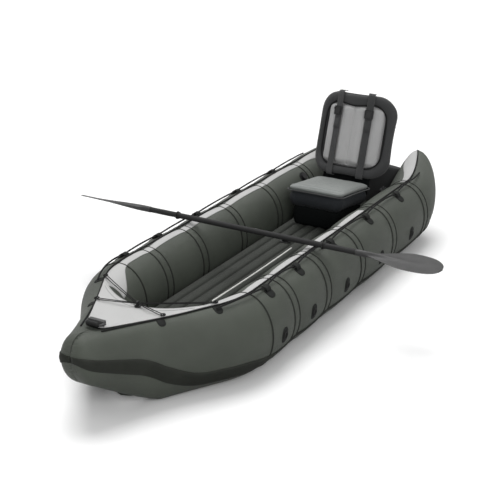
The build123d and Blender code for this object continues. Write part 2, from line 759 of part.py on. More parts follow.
# Buckles: a ladder frame on each strap, with a lever that swings up to free the webbing
BUCKLE_Z = STRAP_LIFT + STRAP_T + 0.7
BUCKLE_Y = BACK_HEIGHT - BUCKLE_DROP
BUCKLE_W = STRAP_W + 12.0
with BuildPart() as buckle_frames:
    for side in (-1, 1):
        with BuildSketch(strap_plane(side, BUCKLE_Z)):
            with Locations((0, BUCKLE_Y)):
                RectangleRounded(BUCKLE_W, BUCKLE_LENGTH, 5.0)
                Rectangle(STRAP_W - 6.0, BUCKLE_LENGTH - 14.0, mode=Mode.SUBTRACT)
        extrude(amount=8.0)
        with BuildSketch(strap_plane(side, BUCKLE_Z + 8.0)):
            with Locations([(cheek * (BUCKLE_W / 2.0 - 3.0), BUCKLE_Y + 12.0) for cheek in (-1, 1)]):
                Rectangle(5.0, 12.0)
        extrude(amount=6.0)
export(buckle_frames, "buckle_frames")
for side, hand in ((-1, "left"), (1, "right")):
    with BuildPart() as buckle_lever:
        with BuildSketch(strap_plane(side, BUCKLE_Z + 9.0)):
            with Locations((0, BUCKLE_Y)):
                RectangleRounded(STRAP_W - 8.0, 36.0, 4.0)
        extrude(amount=4.0)
    export(buckle_lever, f"buckle_lever_{hand}")

# ---- Paddle: the left half carries the ferrule, the right half turns on it ------------------------

FERRULE_R = SHAFT_R - SHAFT_WALL - 0.05
FERRULE_REACH = 90.0
SNAP_X = 45.0
SNAP_R = 3.5
shaft_left_plane = Plane((0, PADDLE_Y, PADDLE_Z), x_dir=(0, 1, 0), z_dir=(-1, 0, 0))
shaft_right_plane = Plane((0, PADDLE_Y, PADDLE_Z), x_dir=(0, 1, 0), z_dir=(1, 0, 0))

with BuildPart() as shaft_left:
    with BuildSketch(shaft_left_plane):
        Circle(SHAFT_R)
        Circle(SHAFT_R - SHAFT_WALL, mode=Mode.SUBTRACT)
    extrude(amount=NECK_X - 1.0)
export(shaft_left, "shaft_left")
with BuildPart() as shaft_right:
    with BuildSketch(shaft_right_plane.offset(0.4)):
        Circle(SHAFT_R)
        Circle(SHAFT_R - SHAFT_WALL, mode=Mode.SUBTRACT)
    extrude(amount=NECK_X - 1.4)
    with BuildSketch(Plane.XY.offset(PADDLE_Z)):
        with Locations((SNAP_X, PADDLE_Y)):
            SlotOverall(2 * SNAP_R + 1.0, 2 * SNAP_R + 0.8)
    extrude(amount=40.0, mode=Mode.SUBTRACT)
export(shaft_right, "shaft_right")
with BuildPart() as ferrule:
    with BuildSketch(shaft_right_plane.offset(-FERRULE_REACH)):
        Circle(FERRULE_R)
        Circle(FERRULE_R - 2.0, mode=Mode.SUBTRACT)
    extrude(amount=2.0 * FERRULE_REACH)
    with Locations((SNAP_X, PADDLE_Y, PADDLE_Z + 14.0)):
        Box(2.0 * SNAP_R + 2.0, 2.0 * SHAFT_R, 20.0, mode=Mode.SUBTRACT)
export(ferrule, "ferrule")
with BuildPart() as snap_button:
    with BuildSketch(Plane.XY.offset(PADDLE_Z + 4.0)):
        with Locations((SNAP_X, PADDLE_Y)):
            Circle(SNAP_R)
    extrude(amount=SHAFT_R - 2.4)
    fillet(faces().sort_by(Axis.Z)[-1].edges(), 1.5)
export(snap_button, "snap_button")


def blade(side, tilt):
    """Blade with a socket at the shaft's end and a rib that fades out along it.

    tilt is the angle of the blade's width above +Y.
    """
    a = radians(tilt)
    across = (0, cos(a), sin(a))
    flat = Plane((side * NECK_X, PADDLE_Y, PADDLE_Z), x_dir=(side, 0, 0),
                 z_dir=Vector(side, 0, 0).cross(Vector(*across)))
    length = TIP_X - NECK_X
    half = BLADE_W / 2.0
    with BuildPart() as body:
        with BuildSketch(flat.offset(-BLADE_T / 2.0)):
            with BuildLine():
                Spline((12, 10), (90, 0.62 * half), (0.55 * length, half), (0.86 * length, 0.86 * half),
                       (length, 0.12 * half), tangents=((1, 0.3), (-0.1, -1)))
                Spline((length, 0.12 * half), (0.93 * length, -0.62 * half),
                       (0.6 * length, -0.97 * half), (90, -0.56 * half), (12, -10),
                       tangents=((-0.1, -1), (-1, 0.3)))
                Line((12, -10), (12, 10))
            make_face()
        extrude(amount=BLADE_T)
        for reach, radius in ((0.0, SHAFT_R + 1.5), (0.16, 13.0), (0.45, 8.0), (0.8, BLADE_T / 2.0 + 0.8)):
            along = flat.origin + Vector(side, 0, 0) * (reach * length)
            with BuildSketch(Plane(along, x_dir=across, z_dir=(side, 0, 0))):
                Ellipse(radius, radius)
        loft()
        with BuildSketch(Plane(flat.origin - Vector(side, 0, 0) * 34.0, z_dir=(side, 0, 0))):
            Circle(SHAFT_R + 1.5)
            Circle(SHAFT_R + 0.05, mode=Mode.SUBTRACT)
        extrude(amount=34.0)
    return body.part


with BuildPart() as blade_left:
    add(blade(-1, LEFT_BLADE_TILT))
export(blade_left, "blade_left")
with BuildPart() as blade_right:
    add(blade(1, RIGHT_BLADE_TILT))
export(blade_right, "blade_right")

for side, hand in ((-1, "left"), (1, "right")):
    with BuildPart() as drip_ring:
        with BuildSketch(Plane((side * DRIP_X - 6.0, PADDLE_Y, PADDLE_Z), z_dir=(1, 0, 0))):
            Circle(21.0)
            Circle(SHAFT_R + 0.06, mode=Mode.SUBTRACT)
        extrude(amount=4.0)
        with BuildSketch(Plane((side * DRIP_X - 6.0, PADDLE_Y, PADDLE_Z), z_dir=(1, 0, 0))):
            Circle(17.5)
            Circle(SHAFT_R + 0.06, mode=Mode.SUBTRACT)
        extrude(amount=14.0)
    export(drip_ring, f"drip_ring_{hand}")
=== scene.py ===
"""Looks of an inflatable kayak with its seat and paddle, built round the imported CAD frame.

The row frame is in metres with +Z up and +Y from bow to stern. Sizes that are worked out here rather
than read from the frame are mostly in millimetres, and MM turns them into metres.
"""

import json
from math import asin, atan2, cos, exp, pi, radians, sin, sqrt

import bpy
from mathutils import Matrix, Vector

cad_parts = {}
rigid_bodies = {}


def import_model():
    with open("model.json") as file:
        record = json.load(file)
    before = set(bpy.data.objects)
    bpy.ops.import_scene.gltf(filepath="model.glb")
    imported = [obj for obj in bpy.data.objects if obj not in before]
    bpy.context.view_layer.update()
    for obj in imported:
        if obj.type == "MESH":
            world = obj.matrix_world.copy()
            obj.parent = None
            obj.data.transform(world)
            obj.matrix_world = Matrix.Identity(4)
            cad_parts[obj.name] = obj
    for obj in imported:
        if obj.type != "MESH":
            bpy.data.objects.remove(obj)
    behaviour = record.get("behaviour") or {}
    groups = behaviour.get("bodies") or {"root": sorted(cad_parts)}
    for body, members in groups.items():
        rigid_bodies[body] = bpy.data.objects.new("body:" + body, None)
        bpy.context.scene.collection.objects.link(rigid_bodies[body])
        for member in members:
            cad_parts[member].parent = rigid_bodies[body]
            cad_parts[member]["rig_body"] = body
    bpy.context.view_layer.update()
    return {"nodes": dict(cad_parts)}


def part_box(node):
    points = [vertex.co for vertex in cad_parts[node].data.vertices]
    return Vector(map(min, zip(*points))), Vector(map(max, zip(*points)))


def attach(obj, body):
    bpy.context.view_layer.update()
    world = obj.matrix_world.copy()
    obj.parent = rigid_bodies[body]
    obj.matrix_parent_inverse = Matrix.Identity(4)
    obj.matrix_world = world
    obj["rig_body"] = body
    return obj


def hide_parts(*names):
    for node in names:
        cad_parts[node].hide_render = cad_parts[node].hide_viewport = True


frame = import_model()
nodes = frame["nodes"]
MM = 0.001


# ---- Materials --------------------------------------------------------------------------------

def shader(name, color, rough, sheen=0.0, spec=0.5, metal=0.0, coat=0.0):
    """New material with a Principled shader; returns material, node tree and shader node."""
    mat = bpy.data.materials.new(name)
    mat.use_nodes = True
    tree = mat.node_tree
    bsdf = tree.nodes["Principled BSDF"]
    bsdf.inputs["Base Color"].default_value = (*color, 1.0)
    bsdf.inputs["Roughness"].default_value = rough
    bsdf.inputs["Sheen Weight"].default_value = sheen
    bsdf.inputs["Sheen Roughness"].default_value = 0.5
    bsdf.inputs["Specular IOR Level"].default_value = spec
    bsdf.inputs["Metallic"].default_value = metal
    bsdf.inputs["Coat Weight"].default_value = coat
    return mat, tree, bsdf


def noise(tree, scale, detail=3.0, stretch=(1, 1, 1)):
    """Noise over the row frame, in cycles per metre."""
    coord = tree.nodes.new("ShaderNodeTexCoord")
    mapping = tree.nodes.new("ShaderNodeMapping")
    mapping.inputs["Scale"].default_value = stretch
    tree.links.new(coord.outputs["Object"], mapping.inputs["Vector"])
    tex = tree.nodes.new("ShaderNodeTexNoise")
    tex.inputs["Scale"].default_value = scale
    tex.inputs["Detail"].default_value = detail
    tree.links.new(mapping.outputs["Vector"], tex.inputs["Vector"])
    return tex.outputs["Fac"]


def weave(tree, pitch):
    """Threads crossing in all three directions, pitch in metres."""
    coord = tree.nodes.new("ShaderNodeTexCoord")
    scale = tree.nodes.new("ShaderNodeVectorMath")
    scale.operation = "SCALE"
    scale.inputs["Scale"].default_value = 2.0 * pi / pitch
    wave = tree.nodes.new("ShaderNodeVectorMath")
    wave.operation = "SINE"
    turn = tree.nodes.new("ShaderNodeVectorMath")
    turn.operation = "COSINE"
    dot = tree.nodes.new("ShaderNodeVectorMath")
    dot.operation = "DOT_PRODUCT"
    tree.links.new(coord.outputs["Object"], scale.inputs[0])
    tree.links.new(scale.outputs["Vector"], wave.inputs[0])
    swap = tree.nodes.new("ShaderNodeMapping")
    swap.inputs["Rotation"].default_value = (pi / 2.0, 0.0, pi / 2.0)
    tree.links.new(scale.outputs["Vector"], swap.inputs["Vector"])
    tree.links.new(swap.outputs["Vector"], turn.inputs[0])
    tree.links.new(wave.outputs["Vector"], dot.inputs[0])
    tree.links.new(turn.outputs["Vector"], dot.inputs[1])
    return dot.outputs["Value"]


def bump(tree, bsdf, height, distance, strength=1.0):
    """Adds a bump under whatever bump the shader already has."""
    node = tree.nodes.new("ShaderNodeBump")
    node.inputs["Strength"].default_value = strength
    node.inputs["Distance"].default_value = distance
    tree.links.new(height, node.inputs["Height"])
    if bsdf.inputs["Normal"].links:
        tree.links.new(bsdf.inputs["Normal"].links[0].from_socket, node.inputs["Normal"])
    tree.links.new(node.outputs["Normal"], bsdf.inputs["Normal"])


def vary(tree, bsdf, factor, dark, light):
    """Runs the base colour from dark to light by a factor."""
    ramp = tree.nodes.new("ShaderNodeValToRGB")
    ramp.color_ramp.elements[0].position = 0.3
    ramp.color_ramp.elements[1].position = 0.7
    ramp.color_ramp.elements[0].color = (*dark, 1.0)
    ramp.color_ramp.elements[1].color = (*light, 1.0)
    tree.links.new(factor, ramp.inputs["Fac"])
    tree.links.new(ramp.outputs["Color"], bsdf.inputs["Base Color"])
    return ramp


def wear(tree, bsdf, amount):
    """Lightens the raised edges a little, as use does."""
    geo = tree.nodes.new("ShaderNodeNewGeometry")
    ramp = tree.nodes.new("ShaderNodeMapRange")
    ramp.inputs["From Min"].default_value = 0.5
    ramp.inputs["From Max"].default_value = 0.62
    ramp.inputs["To Max"].default_value = amount
    mix = tree.nodes.new("ShaderNodeMix")
    mix.data_type = "RGBA"
    mix.blend_type = "SCREEN"
    mix.inputs["B"].default_value = (0.5, 0.5, 0.48, 1.0)
    tree.links.new(geo.outputs["Pointiness"], ramp.inputs["Value"])
    tree.links.new(ramp.outputs["Result"], mix.inputs["Factor"])
    base = bsdf.inputs["Base Color"]
    if base.links:
        tree.links.new(base.links[0].from_socket, mix.inputs["A"])
    else:
        mix.inputs["A"].default_value = base.default_value
    tree.links.new(mix.outputs["Result"], base)


def cloth_material(name, color, rough, pitch=0.0018, depth=0.00012, spread=0.12, sheen=0.15,
                   spec=0.35, patch_scale=6.0, edge=0.12):
    """Coated or woven cloth: threads, soft colour patches, wrinkles and worn edges."""
    mat, tree, bsdf = shader(name, color, rough, sheen=sheen, spec=spec)
    dark = [c * (1.0 - spread) for c in color]
    light = [c * (1.0 + spread) for c in color]
    vary(tree, bsdf, noise(tree, patch_scale, 4.0), dark, light)
    wear(tree, bsdf, edge)
    bump(tree, bsdf, noise(tree, 28.0, 2.0), 0.0016, 0.35)
    bump(tree, bsdf, weave(tree, pitch), depth)
    return mat


def hard_material(name, color, rough, metal=0.0, coat=0.0, spec=0.5, grain=900.0, depth=0.00004):
    """Moulded plastic, rubber or metal: fine grain, uneven gloss and worn edges."""
    mat, tree, bsdf = shader(name, color, rough, metal=metal, coat=coat, spec=spec)
    vary(tree, bsdf, noise(tree, 14.0, 4.0), [c * 0.86 for c in color], [c * 1.14 for c in color])
    wear(tree, bsdf, 0.04)
    gloss = tree.nodes.new("ShaderNodeMapRange")
    gloss.inputs["To Min"].default_value = max(rough - 0.08, 0.05)
    gloss.inputs["To Max"].default_value = min(rough + 0.08, 1.0)
    tree.links.new(noise(tree, 40.0, 3.0), gloss.inputs["Value"])
    tree.links.new(gloss.outputs["Result"], bsdf.inputs["Roughness"])
    bump(tree, bsdf, noise(tree, grain, 2.0), depth)
    return mat


HULL = cloth_material("hull_coated_cloth", (0.060, 0.068, 0.055), 0.45, sheen=0.03, edge=0.05)
FLOOR = cloth_material("floor_coated_cloth", (0.026, 0.029, 0.024), 0.6, spec=0.2, sheen=0.05, edge=0.05)
LIGHT = cloth_material("light_coated_cloth", (0.46, 0.46, 0.455), 0.6, spread=0.03, edge=0.02, spec=0.25)
DARK = cloth_material("dark_nylon", (0.050, 0.051, 0.052), 0.75, pitch=0.0024, depth=0.0002,
                      spec=0.2, edge=0.05)
SEAT_SIDE = cloth_material("seat_side_nylon", (0.022, 0.025, 0.029), 0.7, pitch=0.0024, depth=0.0002,
                           spec=0.2, sheen=0.05, edge=0.03)
# Near-black nylon, darker than the seat's own cloth: painted shade for the shadow beneath the seat. The
# backrest's tie flap takes it too.
SHADE_BLACK_NYLON = cloth_material("black_nylon_painted_shade", (0.005, 0.006, 0.006), 0.8, spec=0.08, sheen=0.0, edge=0.0)
SEAT_TOP = cloth_material("seat_top_cloth", (0.175, 0.188, 0.180), 0.55, spec=0.4, pitch=0.0022, edge=0.05)
PANEL = cloth_material("panel_cloth", (0.46, 0.46, 0.46), 0.65, pitch=0.003, depth=0.0003, spread=0.05)
WEBBING = cloth_material("webbing", (0.06, 0.061, 0.062), 0.75, pitch=0.004, depth=0.0006,
                         spec=0.2, edge=0.05)
SEAM = hard_material("welded_seam", (0.010, 0.012, 0.009), 0.6, spec=0.2)
STRAKE = hard_material("strake_rubber", (0.016, 0.018, 0.014), 0.65, spec=0.2)
PATCH = cloth_material("patch_cloth", (0.014, 0.015, 0.014), 0.65, spread=0.15, spec=0.15,
                       sheen=0.0, edge=0.0)
CORD = cloth_material("braided_cord", (0.007, 0.007, 0.0075), 0.8, pitch=0.003, depth=0.0004, spec=0.15,
                      sheen=0.03, edge=0.03)
LEASH = cloth_material("light_cord", (0.7, 0.7, 0.67), 0.6, pitch=0.003, depth=0.0004, spread=0.05)
PLASTIC = hard_material("black_plastic", (0.012, 0.012, 0.013), 0.45, spec=0.3)
RUBBER = hard_material("grip_rubber", (0.010, 0.010, 0.010), 0.6, spec=0.2)
METAL = hard_material("dull_steel", (0.10, 0.10, 0.10), 0.45, metal=0.8)
RING = hard_material("blackened_wire", (0.012, 0.012, 0.012), 0.5, spec=0.25)
SHAFT = hard_material("shaft_metal", (0.010, 0.010, 0.011), 0.6, spec=0.12)
BLADE = hard_material("blade_plastic", (0.046, 0.046, 0.046), 0.5, spec=0.3)


# ---- Mesh helpers -----------------------------------------------------------------------------

def mesh_piece(name, points, faces, material, body="hull", smooth=True):
    """New mesh object from points in metres, riding on a body."""
    mesh = bpy.data.meshes.new(name)
    mesh.from_pydata([tuple(p) for p in points], [], faces)
    mesh.validate()
    mesh.materials.append(material)
    for poly in mesh.polygons:
        poly.use_smooth = smooth
    obj = bpy.data.objects.new(name, mesh)
    bpy.context.scene.collection.objects.link(obj)
    if body:
        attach(obj, body)
    return obj


def grid_faces(rows, columns, wrap_rows=False, wrap_columns=False, start=0):
    """Quads of a grid of points laid out row by row."""
    faces = []
    for i in range(rows if wrap_rows else rows - 1):
        for j in range(columns if wrap_columns else columns - 1):
            a = start + i * columns + j
            b = start + i * columns + (j + 1) % columns
            c = start + ((i + 1) % rows) * columns + (j + 1) % columns
            d = start + ((i + 1) % rows) * columns + j
            faces.append((a, b, c, d))
    return faces


def loft(name, rings, material, body="hull"):
    """Closed rings joined into a skin, with flat ends."""
    count = len(rings[0])
    last = (len(rings) - 1) * count
    points = [p for ring in rings for p in ring]
    faces = grid_faces(len(rings), count, wrap_columns=True)
    faces.append(tuple(reversed(range(count))))
    faces.append(tuple(range(last, last + count)))
    return mesh_piece(name, points, faces, material, body)


def sheet(name, rows, thick, material, body="hull", *, outward):
    """Grid of points given a thickness; outward(i, j) is the direction it grows in."""
    n, m = len(rows), len(rows[0])
    low = [p for row in rows for p in row]
    high = [rows[i][j] + outward(i, j) * thick for i in range(n) for j in range(m)]
    faces = [tuple(reversed(f)) for f in grid_faces(n, m)]
    faces += grid_faces(n, m, start=n * m)
    edge = list(range(m)) + [i * m + m - 1 for i in range(1, n)]
    edge += [(n - 1) * m + j for j in range(m - 2, -1, -1)] + [i * m for i in range(n - 2, 0, -1)]
    for a, b in zip(edge, edge[1:] + edge[:1]):
        faces.append((a, b, b + n * m, a + n * m))
    return mesh_piece(name, low + high, faces, material, body)


def frames(points, closed):
    """Tangent and two normals at each point, turned as little as possible from one to the next."""
    count = len(points)
    tangents = []
    for i in range(count):
        before = points[i - 1] if (closed or i > 0) else points[0]
        after = points[(i + 1) % count] if (closed or i < count - 1) else points[-1]
        tangents.append((after - before).normalized())
    seed = Vector((0, 0, 1)) if abs(tangents[0].z) < 0.9 else Vector((1, 0, 0))
    normal = (seed - tangents[0] * seed.dot(tangents[0])).normalized()
    result = []
    for t in tangents:
        normal = (normal - t * normal.dot(t)).normalized()
        result.append((t, normal, t.cross(normal)))
    return result


def cord(name, points, radius, material, body="hull", closed=False, sides=10, strands=0, pitch=0.03):
    """Round or stranded cord along points, with domed ends."""
    rings = []
    travelled = 0.0
    basis = frames(points, closed)
    for i, (point, (t, a, b)) in enumerate(zip(points, basis)):
        if i:
            travelled += (point - points[i - 1]).length
        ring = []
        for k in range(sides):
            angle = 2.0 * pi * k / sides
            r = radius
            if strands:
                lobe = abs(cos(strands * 0.5 * (angle - 2.0 * pi * travelled / pitch)))
                r = radius * (0.78 + 0.22 * lobe)
            ring.append(point + (a * cos(angle) + b * sin(angle)) * r)
        rings.append(ring)
    if closed:
        flat = [p for ring in rings for p in ring]
        return mesh_piece(name, flat, grid_faces(len(rings), sides, True, True), material, body)
    first, last = basis[0][0], basis[-1][0]
    head = [[points[0] + (p - points[0]) * s - first * radius * d for p in rings[0]]
            for s, d in ((0.35, 0.9), (0.8, 0.55))]
    tail = [[points[-1] + (p - points[-1]) * s + last * radius * d for p in rings[-1]]
            for s, d in ((0.8, 0.55), (0.35, 0.9))]
    return loft(name, head + rings + tail, material, body)


def resample(points, step):
    """Smooth curve through points, sampled about every step metres."""
    out = []
    for i in range(len(points) - 1):
        p0 = points[max(i - 1, 0)]
        p1, p2 = points[i], points[i + 1]
        p3 = points[min(i + 2, len(points) - 1)]
        count = max(2, int((p2 - p1).length / step))
        for k in range(count):
            t = k / count
            out.append(0.5 * ((2.0 * p1) + (p2 - p0) * t + (2.0 * p0 - 5.0 * p1 + 4.0 * p2 - p3) * t * t
                              + (3.0 * p1 - p0 - 3.0 * p2 + p3) * t ** 3))
    out.append(points[-1])
    return out


def join(name, objects):
    """Makes several pieces on one body into one."""
    points, faces = [], []
    for obj in objects:
        base = len(points)
        points += [v.co.copy() for v in obj.data.vertices]
        faces += [tuple(base + i for i in p.vertices) for p in obj.data.polygons]
    material = objects[0].data.materials[0]
    body = objects[0]["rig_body"]
    for obj in objects:
        bpy.data.objects.remove(obj)
    return mesh_piece(name, points, faces, material, body)


def bake(piece):
    """Turns the modifiers of a piece into plain mesh."""
    graph = bpy.context.evaluated_depsgraph_get()
    mesh = bpy.data.meshes.new_from_object(piece.evaluated_get(graph))
    piece.modifiers.clear()
    piece.data = mesh


PRESSURE = 4.0
CLOTH_STEPS = 20


def puff(piece, voxel, cap):
    """Swells a padded form by a cloth simulation in which no point moves further than cap."""
    remesh = piece.modifiers.new("remesh", "REMESH")
    remesh.mode = "VOXEL"
    remesh.voxel_size = voxel
    remesh.use_smooth_shade = True
    bake(piece)
    start = [vertex.co.copy() for vertex in piece.data.vertices]
    cloth = piece.modifiers.new("cloth", "CLOTH")
    cloth.settings.quality = 4
    cloth.settings.use_pressure = True
    cloth.settings.uniform_pressure_force = PRESSURE
    cloth.settings.effector_weights.gravity = 0.0
    for step in range(1, CLOTH_STEPS + 1):
        bpy.context.scene.frame_set(step)
    bake(piece)
    for vertex, before in zip(piece.data.vertices, start):
        move = vertex.co - before
        if move.length > cap:
            vertex.co = before + move * (cap / move.length)
    fine = piece.modifiers.new("fine", "SUBSURF")
    fine.levels = 1
    bake(piece)
    bpy.context.scene.frame_set(1)


def channel(piece, place, depth):
    """Presses sewn channels into the face of a piece; depth(x, y, z) is in millimetres."""
    for vertex in piece.data.vertices:
        x, y, z = place.local(vertex.co)
        vertex.co -= place.normal(x) * (depth(x, y, z) * MM)


def smooth(t):
    """Ease from 0 to 1."""
    t = min(max(t, 0.0), 1.0)
    return t * t * (3.0 - 2.0 * t)


def finish(piece, slot, *replaced):
    """Hides the CAD nodes a piece stands for; slot is not used."""
    if replaced:
        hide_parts(*replaced)
    return piece


# ---- Shape of the side tubes ------------------------------------------------------------------

_, tube_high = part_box("side_tube_right")
TUBE_W = 150.0
TUBE_H = 191.0
TUBE_X = tube_high.x / MM - TUBE_W
BOW_Y = -670.0
STERN_Y = 1140.0
BOW_TURN = radians(28.0)
BOW_RADIUS = 470.0
BOW_ARC = BOW_TURN * BOW_RADIUS
BOW_LENGTH = BOW_ARC + (TUBE_X - BOW_RADIUS * (1.0 - cos(BOW_TURN))) / sin(BOW_TURN)
DOME_LENGTH = 105.0
STERN_LENGTH = 405.0
HOOPS = [-480.0, -144.0, 254.0, 662.0, 1110.0]
HALF_SPAN = 25.0
PINCH = 9.0
AROUND = 112
SINGLE_SEAM = BOW_Y - 38.0
PATCHES = [-616.0, -320.0, 50.0, 475.0, 885.0]

pinches = [(SINGLE_SEAM, 0.55)]
for hoop in HOOPS:
    pinches += [(hoop - HALF_SPAN, 1.0), (hoop + HALF_SPAN, 1.0)]


def pinch_offset(v):
    """How far the skin is pulled in at v, by the seams that cross the tube."""
    first, last = pinches[0], pinches[-1]
    if v <= first[0]:
        return -PINCH * first[1] * (1.0 - min((first[0] - v) / 130.0, 1.0)) ** 2.2
    if v >= last[0]:
        return -PINCH * last[1] * (1.0 - min((v - last[0]) / 150.0, 1.0)) ** 2.2
    for (a, da), (b, db) in zip(pinches, pinches[1:]):
        if a <= v <= b:
            t = (v - a) / (b - a)
            depth = PINCH * (da + (db - da) * t)
            swell = depth if b - a > 120.0 else 3.2
            return -depth + swell * (1.0 - abs(2.0 * t - 1.0) ** 2.8)
    return 0.0


def station(v):
    """Centre, sideways axis, half width and half height of the right tube at v."""
    if v < BOW_Y:
        s = BOW_Y - v
        arc = min(s / BOW_RADIUS, BOW_TURN)
        run = max(s - BOW_ARC, 0.0)
        t = min(s / BOW_LENGTH, 1.0)
        crown = 2.0 * TUBE_H + 30.0 * max(0.0, (t - 0.45) / 0.55) ** 1.4
        keel = 168.0 * max(0.0, (t - 0.62) / 0.38) ** 1.15
        width = TUBE_W - 58.0 * smooth(t / 0.7)
        dome = min(max(s - BOW_LENGTH, 0.0) / DOME_LENGTH, 1.0)
        shrink = sqrt(1.0 - dome * dome)
        centre = Vector((TUBE_X - BOW_RADIUS * (1.0 - cos(arc)) - run * sin(BOW_TURN),
                         BOW_Y - BOW_RADIUS * sin(arc) - run * cos(BOW_TURN),
                         (crown + keel) / 2.0 + 40.0 * dome))
        return centre, Vector((cos(arc), -sin(arc), 0)), width * shrink, (crown - keel) / 2.0 * shrink
    if v > STERN_Y:
        k = min((v - STERN_Y) / STERN_LENGTH, 1.0)
        crown = 2.0 * TUBE_H + 60.0 * k ** 1.3
        keel = 400.0 * k ** 1.7
        width = TUBE_W * sqrt(max(1.0 - k ** 1.75, 0.0)) + 8.0 * k
        turn = radians(35.0) * k
        centre = Vector((TUBE_X - 103.0 * k ** 1.6, v, (crown + keel) / 2.0))
        return centre, Vector((cos(turn), sin(turn), 0)), width, (crown - keel) / 2.0
    return Vector((TUBE_X, v, TUBE_H)), Vector((1, 0, 0)), TUBE_W, TUBE_H


def meet(x):
    """Distance from the centre plane, which nothing crosses and the skin comes to level."""
    x = max(x, 0.0)
    return sqrt(x * x + 90.0 * x * exp(-x / 70.0))


def raw_skin(v, angle, lift=0.0, pinched=True):
    """Point on the right tube in millimetres, which may reach past the centre plane."""
    centre, across, width, height = station(v)
    a = radians(angle)
    grow = lift + (pinch_offset(v) if pinched else 0.0)
    up = Vector((0, 0, max(height + grow, 0.0) * sin(a)))
    return centre + across * (max(width + grow, 0.0) * cos(a)) + up


def skin(side, v, angle, lift=0.0, pinched=True):
    """Point on a tube in metres; angle 0 points outboard and 90 up, lift is off the skin."""
    p = raw_skin(v, angle, lift, pinched)
    if v < BOW_Y:
        p.x = meet(p.x)
    return Vector((side * p.x, p.y, p.z)) * MM


def along(start, end, step):
    """Values of v from start to end, closer together at the seams."""
    marks = {start, end}
    count = max(1, int(abs(end - start) / step))
    marks |= {start + (end - start) * i / count for i in range(count + 1)}
    for v, _ in pinches:
        marks |= {v + d for d in (-15.0, -10.0, -6.0, -3.0, -1.2, 0.0, 1.2, 3.0, 6.0, 10.0, 15.0)}
    return sorted(m for m in marks if min(start, end) <= m <= max(start, end))


NOSE_V = BOW_Y - BOW_LENGTH
SIDES = ((1, "right"), (-1, "left"))
SEAM_RADIUS = 4.6
STRIP_ANGLES = (88.0, 103.0)
STRIP_WIDENING = 38.0
STRIP_GAP = (560.0, 1100.0)
PIPING_ANGLE = 86.0
PIPING_LIFT = 3.2
ROPE_LIFT = 9.0
STRAKE_LOW = -34.0
STRAKE_RISE = 36.0
LINE_HALF = 3.5


def strip_edge(v):
    """Angle of the light strip's inner edge, which widens towards both ends."""
    reach = max((BOW_Y - v) / (BOW_LENGTH * 0.333), (v - STERN_Y) / STERN_LENGTH, 0.0)
    return STRIP_ANGLES[1] + STRIP_WIDENING * smooth(reach)


def level_at_centre(rings):
    """Moves points past the centre plane back to where the skin crosses it."""
    level = []
    for i, ring in enumerate(rings):
        for j, p in enumerate(ring):
            if p.x < 0.0:
                round_it = ((i - 1, j), (i + 1, j), (i, j - 1), (i, j + 1))
                near = [rings[n][m % AROUND] for n, m in round_it
                        if 0 <= n < len(rings) and rings[n][m % AROUND].x > 0.0]
                if near:
                    spots = [q + (p - q) * (0.4 * q.x / (q.x - p.x)) for q in near]
                    level.append((i, j, sum(spots, Vector()) / len(spots)))
    for i, j, spot in level:
        rings[i][j] = Vector((0.0, spot.y, spot.z))


